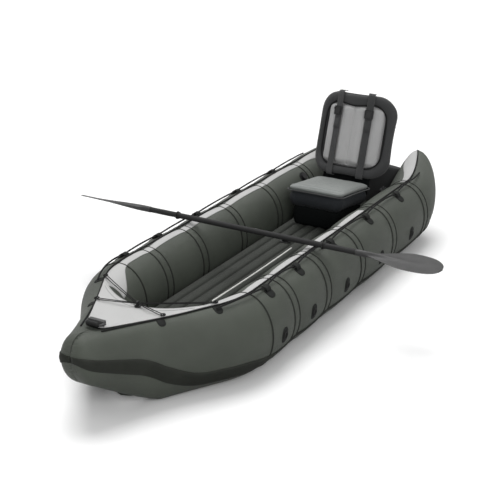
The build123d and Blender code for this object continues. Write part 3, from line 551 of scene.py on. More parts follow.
for side, hand in SIDES:
    domed = (0.998, 0.985, 0.95, 0.9, 0.82, 0.7, 0.56, 0.42, 0.28, 0.14)
    stations = [NOSE_V - DOME_LENGTH * u for u in domed]
    stations += along(NOSE_V, STERN_Y, 16.0)
    stations += [STERN_Y + STERN_LENGTH * (i / 26.0) for i in range(1, 27)]
    rings = []
    for v in stations:
        ring = []
        for j in range(AROUND):
            a = 360.0 * j / AROUND
            pucker = 0.0
            for at, depth in pinches:
                if abs(v - at) < 60.0:
                    ease = exp(-abs(v - at) / 22.0) * min(abs(v - at) / 6.0, 1.0)
                    pucker += 0.55 * ease * sin(radians(a) * 34.0 + at * 0.37) * depth
            ring.append(raw_skin(v, a * side, pucker))
        rings.append(ring)
    level_at_centre(rings)
    for v, ring in zip(stations, rings):
        for p in ring:
            if v < BOW_Y:
                p.x = meet(p.x)
            p.x *= side
            p *= MM
    tip = sum(rings[-1], Vector()) / len(rings[-1])
    for scale, out in ((0.8, 4.0), (0.45, 7.0), (0.12, 8.5)):
        shift = Vector((0, out * MM, out * 0.4 * MM))
        rings.append([tip + (p - tip) * scale + shift for p in rings[-1]])
    hull = loft(f"tube_skin_{hand}", rings, HULL)
    for poly in hull.data.polygons:
        poly.use_smooth = any(abs(hull.data.vertices[i].co.x) > 1e-6 for i in poly.vertices)
    finish(hull, "hull_fabric", f"side_tube_{hand}")

    # Welded seam cords in the pinches
    hoops = []
    for at, _ in pinches:
        loop = [skin(side, at, 360.0 * j / 120, 0.4) for j in range(120)]
        hoops.append(cord("hoop", loop, SEAM_RADIUS * MM, SEAM, closed=True, sides=8))
    finish(join(f"seam_cords_{hand}", hoops), "seam_tape", f"hoop_seams_{hand}")

    # Light strip on the inner half of the crown; the right one stops beside the seat
    strip_vs = along(BOW_Y - BOW_LENGTH * 0.36, STERN_Y, 14.0)
    strip_vs += [STERN_Y + STERN_LENGTH * 0.97 * i / 22.0 for i in range(1, 23)]
    spans = [strip_vs]
    if side > 0:
        spans = [[v for v in strip_vs if v < STRIP_GAP[0]], [v for v in strip_vs if v > STRIP_GAP[1]]]
    strips = []
    for span in spans:
        edges = [[STRIP_ANGLES[0] + (strip_edge(v) - STRIP_ANGLES[0]) * j / 12.0 for j in range(13)]
                 for v in span]
        rows = [[skin(side, v, a, 0.5) for a in row] for v, row in zip(span, edges)]
        lifts = [[(skin(side, v, a, 2.0) - rows[i][j]).normalized() for j, a in enumerate(edges[i])]
                 for i, v in enumerate(span)]
        strips.append(sheet("strip", rows, 1.4 * MM, LIGHT, outward=lambda i, j: lifts[i][j]))
    strip = join(f"light_strip_{hand}", strips)
    finish(strip, "light_fabric", f"crown_strip_{hand}")

    # Edge piping along the crown: it bridges the pinches
    path = [skin(side, NOSE_V + 60.0 + 30.0 * i, PIPING_ANGLE, PIPING_LIFT, False)
            for i in range(int((STERN_Y - NOSE_V - 60.0) / 30.0))]
    path += [skin(side, STERN_Y + STERN_LENGTH * 0.96 * i / 14.0, PIPING_ANGLE + 3.0 * i / 14.0,
                  PIPING_LIFT, False) for i in range(15)]
    piping = cord(f"edge_piping_{hand}_cord", resample(path, 0.012), 4.0 * MM, CORD, sides=8)
    finish(piping, "cord", f"edge_piping_{hand}")

    # Lifeline: rope held at the patches and swelling out between them
    holds = [BOW_Y - 250.0] + PATCHES + [STERN_Y + 115.0]
    path = []
    for a, b in zip(holds, holds[1:]):
        for i in range(10):
            t = i / 10.0
            swell = sin(pi * t) ** 0.8
            path.append(skin(side, a + (b - a) * t, 74.0 + 4.0 * swell, ROPE_LIFT * (1.0 + swell), False))
    path.append(skin(side, holds[-1], 74.0, ROPE_LIFT, False))
    line = cord(f"lifeline_{hand}_rope", resample(path, 0.004), 4.6 * MM, CORD, sides=12, strands=3,
                pitch=0.034)
    finish(line, "cord", f"lifeline_{hand}")

    # Rub strake round the bow and the narrow line that goes on from it
    nose = [BOW_Y - BOW_LENGTH * i / 60.0 for i in range(61)]
    nose += [NOSE_V - DOME_LENGTH * u for u in (0.12, 0.25, 0.38, 0.5, 0.6, 0.7, 0.78, 0.86)]
    profile = ((-1.0, 0.4), (-0.97, 3.4), (-0.85, 5.2), (-0.45, 5.8), (-0.3, 6.6), (0.0, 6.9), (0.3, 6.6),
               (0.45, 5.8), (0.85, 5.2), (0.97, 3.4), (1.0, 0.4))
    rings = []
    for v in nose:
        t = (BOW_Y - v) / BOW_LENGTH
        middle = STRAKE_LOW + STRAKE_RISE * smooth((t - 0.38) / 0.4)
        half = LINE_HALF + 9.5 * smooth(t / 0.2)
        rings.append([skin(side, v, middle + half * w, lift) for w, lift in profile])
    finish(loft(f"rub_strake_{hand}_band", rings, STRAKE), "strake_rubber", f"rub_strake_{hand}")
    rings = []
    line_vs = along(BOW_Y - 2.0, STERN_Y, 20.0)
    line_vs += [STERN_Y + STERN_LENGTH * 0.6 * i / 12.0 for i in range(1, 13)]
    for v in line_vs:
        rings.append([skin(side, v, STRAKE_LOW + LINE_HALF * w, lift * 0.6) for w, lift in profile])
    finish(loft(f"rub_line_{hand}_band", rings, STRAKE), "strake_rubber", f"rub_line_{hand}")


# ---- Patches, rings and webbing loops on the tubes --------------------------------------------

ANGLE_PER_MM = 0.36
RING_ANGLE = -8.0


def tube_patch(name, side, v0, angle0, half_along, half_round, tab=False):
    """Cloth patch with rounded ends that lies on the tube; a tab is squarer on its upper side."""
    around = 28
    rings = (0.0, 0.35, 0.7, 0.9, 0.97, 1.0)
    points, faces = [], []
    lifts = (3.0, 3.0, 3.0, 2.8, 2.0, 0.2)
    for r, lift in zip(rings, lifts):
        for k in range(around):
            a = 2.0 * pi * k / around
            x, y = cos(a), sin(a)
            power = 0.8 if not tab or y < 0 else 0.4
            x = abs(x) ** power * (1 if x > 0 else -1)
            y = abs(y) ** power * (1 if y > 0 else -1)
            u, w = r * x * half_along, r * y * half_round
            points.append(skin(side, v0 + u, angle0 + w * ANGLE_PER_MM, lift))
    for i in range(len(rings) - 1):
        faces += [(i * around + k, i * around + (k + 1) % around, (i + 1) * around + (k + 1) % around,
                   (i + 1) * around + k) for k in range(around)]
    if side > 0:
        faces = [tuple(reversed(f)) for f in faces]
    return mesh_piece(name, points, faces, PATCH)


for side, hand in SIDES:
    upper, lower, rings = [], [], []
    for v in PATCHES:
        upper.append(tube_patch("patch", side, v, 63.0, 27.0, 27.0, tab=True))
        lower.append(tube_patch("patch", side, v, RING_ANGLE, 27.0, 34.0))
        loop = []
        for k in range(48):
            a = 2.0 * pi * k / 48
            loop.append(skin(side, v + 15.0 * cos(a), RING_ANGLE + 15.0 * sin(a) * ANGLE_PER_MM, 5.6))
        rings.append(cord("ring", loop, 2.2 * MM, RING, closed=True, sides=10))
    finish(join(f"upper_patches_{hand}_tabs", upper), "strake_rubber", f"upper_patches_{hand}")
    finish(join(f"lower_patches_{hand}_pads", lower), "strake_rubber", f"lower_patches_{hand}")
    finish(join(f"side_rings_{hand}_wire", rings), "ring_metal", f"side_rings_{hand}")
    sleeves = []
    for v in PATCHES:
        rows, up = [], []
        for i in range(9):
            a = 66.0 + 16.0 * i / 8.0
            hump = 13.0 * sin(pi * i / 8.0) ** 0.6
            steps = [-side * d for d in (-19.0, -7.0, 7.0, 19.0)]
            rows.append([skin(side, v + d, a, 3.0 + hump, False) for d in steps])
            up.append([(skin(side, v + d, a, 30.0, False) - p).normalized() for d, p in zip(steps, rows[-1])])
        sleeves.append(sheet("sleeve", rows, 2.2 * MM, PATCH, outward=lambda i, j: up[i][j]))
    finish(join(f"line_sleeves_{hand}", sleeves), "webbing")


# ---- Floor: lengthwise air channels with stitched valleys -------------------------------------

floor_low, floor_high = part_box("floor")
CHANNELS = 6
VALLEY_DEPTH = 0.026
STITCH_PITCH = 0.032
END_ROUND = 0.06
pitch = (floor_high.x - floor_low.x) / CHANNELS
floor_top = floor_high.z
middle = (floor_top + floor_low.z) / 2.0


def floor_half(y):
    """Half width of the floor at y, which tapers to the bow."""
    marks = [(-1.162, 0.012), (-1.150, 0.026), (-1.026, 0.098), (-0.845, 0.170), (-0.720, 0.200),
             (9.0, 0.200)]
    for (a, wa), (b, wb) in zip(marks, marks[1:]):
        if y <= b:
            return wa + (wb - wa) * max(0.0, (y - a) / (b - a))
    return marks[-1][1]


rings = []
length = floor_high.y - floor_low.y
ys = [floor_low.y + length * i / 150.0 for i in range(151)]
ends = [0.002, 0.006, 0.014, 0.026, 0.04]
ys = sorted(ys[2:-2] + [floor_low.y + e for e in ends] + [floor_high.y - e for e in ends])
for y in ys:
    half = floor_half(y)
    near_end = min(y - floor_low.y, floor_high.y - y)
    full = sqrt(max(0.0, 1.0 - (1.0 - min(near_end / END_ROUND, 1.0)) ** 2))
    stitch = 1.0 + 0.06 * sin(y * 2.0 * pi / STITCH_PITCH)
    ring = []
    for j in range(CHANNELS * 12 + 1):
        x = -floor_high.x + pitch * j / 12.0
        x = max(-half, min(half, x))
        phase = (x / pitch + CHANNELS / 2.0) % 1.0
        arch = sqrt(max(0.0, 1.0 - (2.0 * phase - 1.0) ** 2)) if 0.0 < phase < 1.0 else 0.0
        top = floor_top - VALLEY_DEPTH * (1.0 - arch ** 0.8) + 0.0012 * stitch * (1.0 - arch)
        side_drop = 0.03 * max(0.0, 1.0 - (half - abs(x)) / 0.03) ** 2
        ring.append(Vector((x, y, middle + (top - side_drop - middle) * full)))
    for j in range(13):
        x = half * (1.0 - j / 6.0)
        ring.append(Vector((x, y, middle + (floor_low.z - middle) * full)))
    rings.append(ring)
finish(loft("floor_channels", rings, FLOOR), "floor_fabric", "floor")

# ---- Bow deck, its cords, hook and handle -----------------------------------------------------

deck_low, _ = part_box("bow_deck")
hook_low, hook_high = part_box("deck_hook")
hook = (hook_low + hook_high) / 2.0
DECK_SIDE_Y = -0.885
DECK_LIFT = 0.0056
BOW_STATIONS = [station(BOW_Y - BOW_LENGTH * i / 400.0) for i in range(401)]


def crown_at(y):
    """Crown point of the right tube at y: its x and its height."""
    y = round(y, 3)
    centre, _, _, height = min(BOW_STATIONS, key=lambda spot: abs(spot[0].y - y / MM))
    return centre.x * MM, (centre.z + height) * MM


def deck_point(u, w):
    """Point of the deck: u from left -1 to right 1, w from the rear edge 0 to the front 1."""
    y_middle = hook.y + 0.012
    rear = y_middle + (DECK_SIDE_Y - y_middle) * (1.0 - sqrt(max(0.0, 1.0 - abs(u) ** 2.4)))
    y = rear + (deck_low.y - rear) * w
    half, crown = crown_at(y)
    half += 0.006
    sag = 0.016 * min(1.0, half / 0.2) + 0.002
    ripple = 0.0012 * sin(9.0 * u + 3.0 * w) * sin(pi * w) * (1.0 - u * u)
    hem = 0.0016 * exp(-(w / 0.012) ** 2)
    z = crown + DECK_LIFT - sag * (1.0 - u * u) + ripple * (1.0 - w) + hem
    return Vector((u * half, y, z))


deck_rows = []
for i in range(57):
    w = (i / 56.0) ** 1.2
    deck_rows.append([deck_point(-1.0 + 2.0 * j / 64.0, w) for j in range(65)])
deck = sheet("bow_deck_cloth", deck_rows, 2.2 * MM, LIGHT, outward=lambda i, j: Vector((0, 0, 1)))
finish(deck, "light_fabric", "bow_deck")
hem = [deck_point(-1.0 + 2.0 * j / 80.0, 0.0) + Vector((0, 0.001, 0.0012)) for j in range(2, 79)]
finish(cord("deck_hem", hem, 2.6 * MM, LIGHT, sides=10), "light_fabric")
stitch = [deck_point(-0.94 + 1.88 * j / 80.0, 0.07) + Vector((0, 0, 0.0026)) for j in range(81)]
finish(cord("deck_stitch_line", stitch, 0.9 * MM, SEAT_TOP, sides=6), "light_fabric")

anchors = []
for y in (-0.898, -1.133):
    x, crown = crown_at(y)
    anchors.append(Vector((x + 0.004, y, crown + 0.013)))
strands, knots = [], []
for anchor in anchors:
    for side in (-1, 1):
        start = Vector((side * anchor.x, anchor.y, anchor.z))
        for spread in (-1, 1):
            a = start + Vector((-side * 0.002, spread * 0.008, 0.0))
            b = Vector((side * 0.006, hook.y + spread * 0.004, hook_high.z - 0.010))
            mid = (a + b) / 2.0 - Vector((0, 0, 0.0015))
            strands.append(cord("strand", resample([a, mid, b], 0.008), 2.1 * MM, CORD, sides=8))
        loop = [start + Vector((side * 0.009 * cos(2 * pi * k / 24), 0.011 * sin(2 * pi * k / 24), 0.003))
                for k in range(24)]
        knots.append(cord("knot", loop, 3.2 * MM, CORD, closed=True, sides=8))
finish(join("deck_bungee", strands), "cord", "deck_cords")
finish(join("deck_knots", knots), "cord", "deck_rings")
anchor_tabs = []
for side, _ in SIDES:
    for v in (-912.0, -1195.0):
        anchor_tabs.append(tube_patch("tab", side, v, 76.0, 20.0, 34.0, tab=True))
finish(join("deck_anchor_tabs", anchor_tabs), "strake_rubber")

grip_low, grip_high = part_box("bow_grip")
grip = (grip_low + grip_high) / 2.0
GRIP_SHARE = 0.74
half = (grip_high.x - grip_low.x) / 2.0 * GRIP_SHARE
rings = []
for i in range(61):
    t = -1.0 + 2.0 * i / 60.0
    swell = (grip_high.z - grip_low.z) / 2.0 * 0.95 * (1.0 - abs(t) ** 9) ** 0.5
    ridge = 0.0009 * (0.5 + 0.5 * cos(t * 2.0 * pi * 5.5)) if abs(t) < 0.86 else 0.0
    r = max(swell - 0.0009 + ridge, 0.0058)
    turns = [2 * pi * k / 28 for k in range(28)]
    rings.append([Vector((grip.x + half * t, grip.y + r * cos(g), grip.z + r * sin(g))) for g in turns])
finish(loft("bow_grip_roll", rings, RUBBER, body="bow_handle"), "grip_rubber", "bow_grip")
sleeve_low, sleeve_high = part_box("bow_handle_mount")
hinge_y = (sleeve_low.y + sleeve_high.y) / 2.0
loop = []
for k in range(64):
    a = 2.0 * pi * k / 64
    x = abs(cos(a)) ** 0.35 * (1 if cos(a) > 0 else -1)
    y = abs(sin(a)) ** 0.35 * (1 if sin(a) > 0 else -1)
    reach = (grip.y + hinge_y) / 2.0 + y * abs(grip.y - hinge_y) / 2.0
    loop.append(Vector((x * (half + 0.007), reach, grip.z)))
loop_cord = cord("bow_handle_loop", loop, 4.2 * MM, WEBBING, body="bow_handle", closed=True, sides=10)
finish(loop_cord, "webbing", "bow_handle_cord")

# ---- Leash ------------------------------------------------------------------------------------

leash_low, leash_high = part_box("paddle_leash")
start = Vector((leash_low.x + 0.003, leash_low.y, leash_high.z - 0.003))
end = Vector((leash_low.x + 0.003, leash_high.y, leash_low.z + 0.003))
path = [start + (end - start) * (i / 12.0) - Vector((0, 0, 0.004 * sin(pi * i / 12.0)))
        for i in range(13)]
rope = cord("leash_rope", resample(path, 0.004), 3.6 * MM, LEASH, sides=12, strands=3, pitch=0.026)
finish(rope, "light_cord", "paddle_leash")

# ---- Cushions: closed forms on a plane given by its origin and axes ----------------------------


class Place:
    """Origin and axes, in millimetres and the row frame."""

    def __init__(self, origin, x, y, z):
        self.origin, self.x, self.y, self.z = Vector(origin), Vector(x), Vector(y), Vector(z)

    def at(self, x, y, z):
        """Point in metres."""
        return (self.origin + self.x * x + self.y * y + self.z * z) * MM

    def normal(self, x):
        """Direction away from the plane at x."""
        return self.z

    def local(self, point):
        """Place coordinates of a point in metres."""
        p = point / MM - self.origin
        return p.dot(self.x), p.dot(self.y), p.dot(self.z)


class Bowed(Place):
    """The same with its plane bent round an axis that runs along y behind it."""

    def __init__(self, origin, x, y, z, radius, flip=1.0):
        super().__init__(origin, x, y, z)
        self.radius = radius
        self.flip = flip

    def at(self, x, y, z):
        """Point in metres."""
        turn = asin(x * self.flip / self.radius)
        reach = self.radius + z * self.flip
        return super().at(reach * sin(turn), y, reach * cos(turn) - self.radius)

    def normal(self, x):
        """Direction away from the plane at x."""
        turn = asin(x * self.flip / self.radius)
        return (self.x * sin(turn) + self.z * cos(turn)) * self.flip

    def local(self, point):
        """Place coordinates of a point in metres."""
        x, y, z = super().local(point)
        turn = atan2(x, z + self.radius)
        depth = sqrt(x * x + (z + self.radius) ** 2) - self.radius
        return self.radius * sin(turn) * self.flip, y, depth * self.flip


def outline(half_x, half_y, corner, tuck=0.0, count=14):
    """Rounded rectangle round the origin, anticlockwise; tuck pulls the sides in between the corners."""
    points = []
    corner = min(corner, half_x, half_y)
    flat_x, flat_y = half_x - corner, half_y - corner
    corners = ((flat_x, -flat_y), (flat_x, flat_y), (-flat_x, flat_y), (-flat_x, -flat_y))
    side_ends = ((half_x, flat_y), (-flat_x, half_y), (-half_x, -flat_y), (flat_x, -half_y))
    inwards = ((-1, 0), (0, -1), (1, 0), (0, 1))
    for q, ((cx, cy), (bx, by), (ix, iy)) in enumerate(zip(corners, side_ends, inwards)):
        for i in range(count):
            a = pi / 2.0 * (q - 1 + i / (count - 1.0))
            points.append((cx + corner * cos(a), cy + corner * sin(a)))
        ax, ay = points[-1]
        for i in range(1, count):
            t = i / float(count)
            pull = tuck * sin(pi * t)
            points.append((ax + (bx - ax) * t + ix * pull, ay + (by - ay) * t + iy * pull))
    return points


def cushion(name, place, centre, half_x, half_y, low, high, corner, material, body="hull",
            crown=8.0, tuck=4.0, round_share=0.5, rear_scallop=0.0, waves=None):
    """Crowned closed cushion between two heights over a plane."""
    thick = high - low
    edge = thick * round_share
    rings = []

    def ring(inset, scale, z, dome):
        shape = outline(half_x - inset, half_y - inset, max(corner - inset * 0.5, 4.0), tuck)
        out = []
        for x, y in shape:
            if rear_scallop and y > half_y * 0.6:
                scallop = abs(sin(1.5 * pi * (x / half_x + 1.0)))
                y -= rear_scallop * scallop * smooth((y / half_y - 0.6) / 0.3)
            x, y = x * scale, y * scale
            far = min(1.0, sqrt((x / half_x) ** 2 * 0.5 + (y / half_y) ** 2 * 0.5) * 1.1)
            top = z + dome * (1.0 - far ** 2.2)
            if waves and dome:
                top += waves(x, y) * (1.0 - scale ** 6)
            out.append(place.at(centre[0] + x, centre[1] + y, top))
        rings.append(out)

    for i in range(8):
        ring(edge, 0.06 + 0.94 * i / 7.5, low, 0.0)
    for i in range(11):
        a = radians(-90.0 + 18.0 * i)
        ring(edge * (1.0 - abs(cos(a)) ** 0.8), 1.0, (low + high) / 2.0 + thick / 2.0 * sin(a), 0.0)
    for i in range(14):
        ring(edge, 1.0 - 0.97 * (i + 0.4) / 13.4, high, crown)
    return loft(name, rings, material, body)


def welt(name, place, centre, shape, z, radius, material, body="hull", sides=8):
    """Piping along an outline."""
    points = [place.at(centre[0] + x, centre[1] + y, z) for x, y in shape]
    clean = [p for i, p in enumerate(points) if (p - points[i - 1]).length > 1e-5]
    return cord(name, clean, radius * MM, material, body, closed=True, sides=sides)


# ---- Seat -------------------------------------------------------------------------------------

slope = radians(8.1)
seat = Place((0, 648, 405), (1, 0, 0), (0, cos(slope), -sin(slope)), (0, sin(slope), cos(slope)))
DEPTH = 411.0
HALF = 177.0
SWELL = 5.0
half_x, half_y = HALF - SWELL, DEPTH / 2.0 - SWELL
middle = (0.0, DEPTH / 2.0)


def front_channel(x, y, z):
    """Depth of the sewn channel across the front of the top pad."""
    return 3.0 * exp(-((y - 55.0 - 4.0 * (x / 160.0) ** 2) / 5.0) ** 2) if z > -10.0 else 0.0


base = cushion("seat_cushion", seat, middle, half_x, half_y, -109.0, -24.0, 40.0, SEAT_SIDE,
               crown=1.0, tuck=6.0, round_share=0.42)
puff(base, 0.006, 0.009)
finish(base, "dark_fabric", "seat_base")
pad = cushion("seat_top_pad", seat, middle, half_x, half_y, -20.0, 0.0, 38.0, SEAT_TOP,
              rear_scallop=12.0, waves=lambda x, y: 1.2 * cos(x / 58.0 * pi))
puff(pad, 0.005, 0.005)
channel(pad, seat, front_channel)
finish(pad, "pad_fabric", "seat_pad")
edge = welt("seat_welt", seat, middle, outline(HALF - 1.0, DEPTH / 2.0 - 1.0, 39.0, 4.0), -20.5, 3.2, DARK)
finish(edge, "dark_fabric")
# Raised piping across the front of the pad, coloured light as a painted highlight along the front ridge.
line = [seat.at(x, 52.0 + 4.0 * (x / 160.0) ** 2, 2.6 + 2.5 * (1.0 - (x / 165.0) ** 2))
        for x in range(-160, 161, 8)]
finish(cord("seat_front_piping_highlight", line, 1.8 * MM, LIGHT, sides=8), "pad_fabric")
# Lower block that holds up the seat; its near-black nylon is painted shade for the shadow beneath the seat.
riser_low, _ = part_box("seat_riser")
rows = []
for z, grow in ((0.0, -8.0), (0.06, -3.0), (0.16, 0.0), (0.5, 1.5), (0.84, 0.0), (0.94, -3.0), (1.0, -8.0)):
    ring = []
    for x, y in outline(143.0 + grow, DEPTH / 2.0 - 34.0 + grow, 34.0, 4.0):
        up = seat.at(x, DEPTH / 2.0 + y, -113.0)
        foot = Vector((up.x, up.y, riser_low.z))
        ring.append(foot + (up - foot) * z)
    rows.append(ring)
finish(loft("seat_lower_block_skin", rows, SHADE_BLACK_NYLON), "dark_fabric", "seat_riser")

# ---- Backrest ---------------------------------------------------------------------------------

lean = radians(18.5)
back = Bowed((0, 1037, 402), (1, 0, 0), (0, sin(lean), cos(lean)), (0, -cos(lean), sin(lean)), 400.0)
FOOT = -20.0
BACK_H = 466.0 - FOOT
BACK_W = 250.0
BORDER = 60.0
mid = (0.0, BACK_H / 2.0 + FOOT)


def dipped(shape):
    """The same outline with its upper side dipped in the middle."""
    return [(x, y - 20.0 * cos(pi / 2.0 * x / 120.0) ** 1.6 if y > 0 and abs(x) < 120.0 else y)
            for x, y in shape]


outer = outline(BACK_W, BACK_H / 2.0, 112.0, 3.0, 18)
inner = dipped(outline(BACK_W - BORDER, BACK_H / 2.0 - BORDER, 82.0, -3.0, 18))
rings = []
for (ox, oy), (ix, iy) in zip(outer, inner):
    ring = []
    for k in range(28):
        a = 2.0 * pi * k / 28
        across = 0.5 - 0.5 * (abs(cos(a)) ** 0.75) * (1 if cos(a) > 0 else -1)
        rise = abs(sin(a)) ** 0.75 * (1 if sin(a) > 0 else -1)
        z = -25.0 + 25.5 * rise
        ring.append(back.at(ox + (ix - ox) * across, mid[1] + oy + (iy - oy) * across, z))
    rings.append(ring)
points = [p for ring in rings for p in ring]
faces = grid_faces(len(rings), 28, True, True)
border = mesh_piece("backrest_border", points, faces, DARK, "backrest")
puff(border, 0.006, 0.005)
finish(border, "dark_fabric", "backrest_frame")

ROLLS = ((-143.0, 47.0), (-48.0, 48.0), (48.0, 48.0), (143.0, 47.0))
VALLEYS = (-96.0, 0.0, 96.0)
PANEL_X = BACK_W - BORDER + 6.0
PANEL_Y = BACK_H / 2.0 - BORDER + 6.0
PANEL_CORNER = 84.0


def valley_channel(x, y, z):
    """Depth of the sewn channels between the rolls."""
    return 5.0 * sum(exp(-((x - at) / 8.0) ** 2) for at in VALLEYS) if z > -24.0 else 0.0


def panel_z(x, y):
    """Height of the ribbed panels over the back plane."""
    arch = max(max(0.0, 1.0 - ((x - at) / half) ** 2) ** 0.8 for at, half in ROLLS)
    arch = max(arch, 0.72 * smooth((96.0 - abs(x)) / 40.0))
    ends = smooth((BACK_H / 2.0 - BORDER + 8.0 - abs(y)) / 40.0)
    sides = smooth((BACK_W - BORDER + 8.0 - abs(x)) / 22.0)
    return -30.0 + (6.0 + 20.0 * arch) * ends * sides + 0.8 * sin(y / 14.0 + x / 9.0) * (1.0 - arch) * ends


rows, columns = 61, 81
front, normals = [], []
for i in range(rows):
    y = PANEL_Y * (-1.0 + 2.0 * i / (rows - 1.0))
    over = max(0.0, abs(y) - (PANEL_Y - PANEL_CORNER))
    width = PANEL_X - PANEL_CORNER + sqrt(max(PANEL_CORNER ** 2 - over ** 2, 0.0))
    xs = [width * (-1.0 + 2.0 * j / (columns - 1.0)) for j in range(columns)]
    front.append([back.at(x, mid[1] + y, panel_z(x, y)) for x in xs])
    normals.append([back.normal(x) for x in xs])
panels = sheet("backrest_ribs", front, -18.0 * MM, PANEL, "backrest", outward=lambda i, j: normals[i][j])
puff(panels, 0.005, 0.005)
channel(panels, back, valley_channel)
finish(panels, "panel_fabric", "backrest_panels")

shape = dipped(outline(BACK_W - BORDER + 5.0, BACK_H / 2.0 - BORDER + 5.0, 86.0, -3.0, 18))
piping = welt("backrest_inner_piping", back, mid, shape, -7.0, 4.2, CORD, "backrest")
finish(piping, "cord", "backrest_piping")
rim_shape = outline(BACK_W - 3.5, BACK_H / 2.0 - 3.5, 109.0, 3.0, 18)
finish(welt("backrest_rim_piping", back, mid, rim_shape, -25.0, 3.6, CORD, "backrest"), "cord")
rear_place = Bowed(back.origin, back.x, back.y, back.z, 400.0, flip=-1.0)
cover = cushion("backrest_rear_cover", rear_place, (0.0, mid[1]), BACK_W - 12.0, BACK_H / 2.0 - 12.0,
                42.0, 52.0, 104.0, DARK, "backrest", crown=5.0, tuck=2.0,
                waves=lambda x, y: 1.2 * cos(x / 60.0 * pi))
finish(cover, "dark_fabric", "backrest_cover")

STRAP_X, STRAP_HALF = 96.0, 20.0
strap_path = [(-21.0, -26.0), (-24.5, -14.0), (-22.0, -2.0), (-12.0, 4.6), (16.0, 5.0), (50.0, 4.4),
              (120.0, 3.0), (220.0, 2.6), (305.0, 3.2), (335.0, 3.6), (369.0, 3.6), (401.0, 5.0),
              (431.0, 6.2), (457.0, 6.0), (470.0, 0.0), (474.0, -12.0), (473.0, -30.0)]
line = resample([Vector((0.0, y, z)) for y, z in strap_path], 9.0)
straps = []
for side in (-1, 1):
    rows = []
    for p in line:
        rows.append([back.at(side * STRAP_X + w * STRAP_HALF, p.y, p.z + (0.35 if abs(w) < 0.9 else 0.0))
                     for w in (-1.0, -0.86, -0.5, 0.0, 0.5, 0.86, 1.0)])
    outs = []
    for before, after in zip(line[:1] + line, line[1:] + line[-1:]):
        t = (after - before).normalized()
        outs.append((back.y * -t.z + back.normal(side * STRAP_X) * t.y).normalized())
    straps.append(sheet("strap", rows, 2.4 * MM, WEBBING, "backrest", outward=lambda i, j: outs[i]))
    tail = [(317.0, 6.6), (295.0, 7.2), (273.0, 7.4), (251.0, 8.4)]
    rows = [[back.at(side * STRAP_X + w * (STRAP_HALF - 2.0), y, z) for w in (-1.0, -0.5, 0.0, 0.5, 1.0)]
            for y, z in tail]
    straps.append(sheet("strap", rows, 2.0 * MM, WEBBING, "backrest",
                        outward=lambda i, j: back.normal(side * STRAP_X)))
finish(join("backrest_webbing", straps), "webbing", "backrest_straps")

# The tie flap is in the same near-black nylon, whose darkness is painted shade.
flap_low, flap_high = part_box("backrest_flap")
rows = []
for i in range(9):
    t = i / 8.0
    y = flap_low.y + (flap_high.y - flap_low.y) * t
    z = flap_low.z + (flap_high.z - flap_low.z) * t - 0.004 * sin(pi * t)
    rows.append([Vector((flap_low.x + (flap_high.x - flap_low.x) * j / 24.0, y,
                         z + 0.0012 * sin(j * 1.1) * sin(pi * t))) for j in range(25)])
flap = sheet("backrest_tie_flap", rows, -2.4 * MM, SHADE_BLACK_NYLON, outward=lambda i, j: Vector((0, -0.94, 0.33)))
finish(flap, "webbing", "backrest_flap")

# ---- Stern panel ------------------------------------------------------------------------------

panel_low, panel_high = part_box("stern_panel")
panel_y = (panel_low.y + panel_high.y) / 2.0
half_thick = (panel_high.y - panel_low.y) / 2.0
panel_centre, _, panel_width, panel_height = station(panel_y / MM)
PANEL_DROP = 0.024
ACROSS = 40


def panel_half(z):
    """Half width of the panel at a height, up to the tubes' inner skin."""
    level = (z / MM - panel_centre.z) / panel_height
    inner_x = panel_centre.x - panel_width * sqrt(max(0.0, 1.0 - level * level)) - 1.5
    return min(inner_x, 225.0 + max(0.0, z / MM - 150.0) * 0.875) * MM


rings = []
for i in range(29):
    s = i / 28.0
    ring = []
    z_mid = panel_low.z - PANEL_DROP + (panel_high.z - panel_low.z + PANEL_DROP) * s
    half_x = panel_half(z_mid)
    edge_soft = (1.0 - abs(2.0 * s - 1.0) ** 9) ** 0.5
    for j in range(2 * ACROSS):
        u = -1.0 + 2.0 * j / ACROSS if j <= ACROSS else 1.0 - 2.0 * (j - ACROSS) / ACROSS
        sign = -1.0 if j <= ACROSS else 1.0
        drop = 0.018 * u * u * s
        full = max((1.0 - abs(u) ** 8) ** 0.5 * edge_soft, 0.04)
        ring.append(Vector((u * half_x, panel_y + sign * half_thick * full, z_mid - drop)))
    rings.append(ring)
finish(loft("stern_panel_pad", rings, DARK), "dark_fabric", "stern_panel")

# ---- Paddle -----------------------------------------------------------------------------------

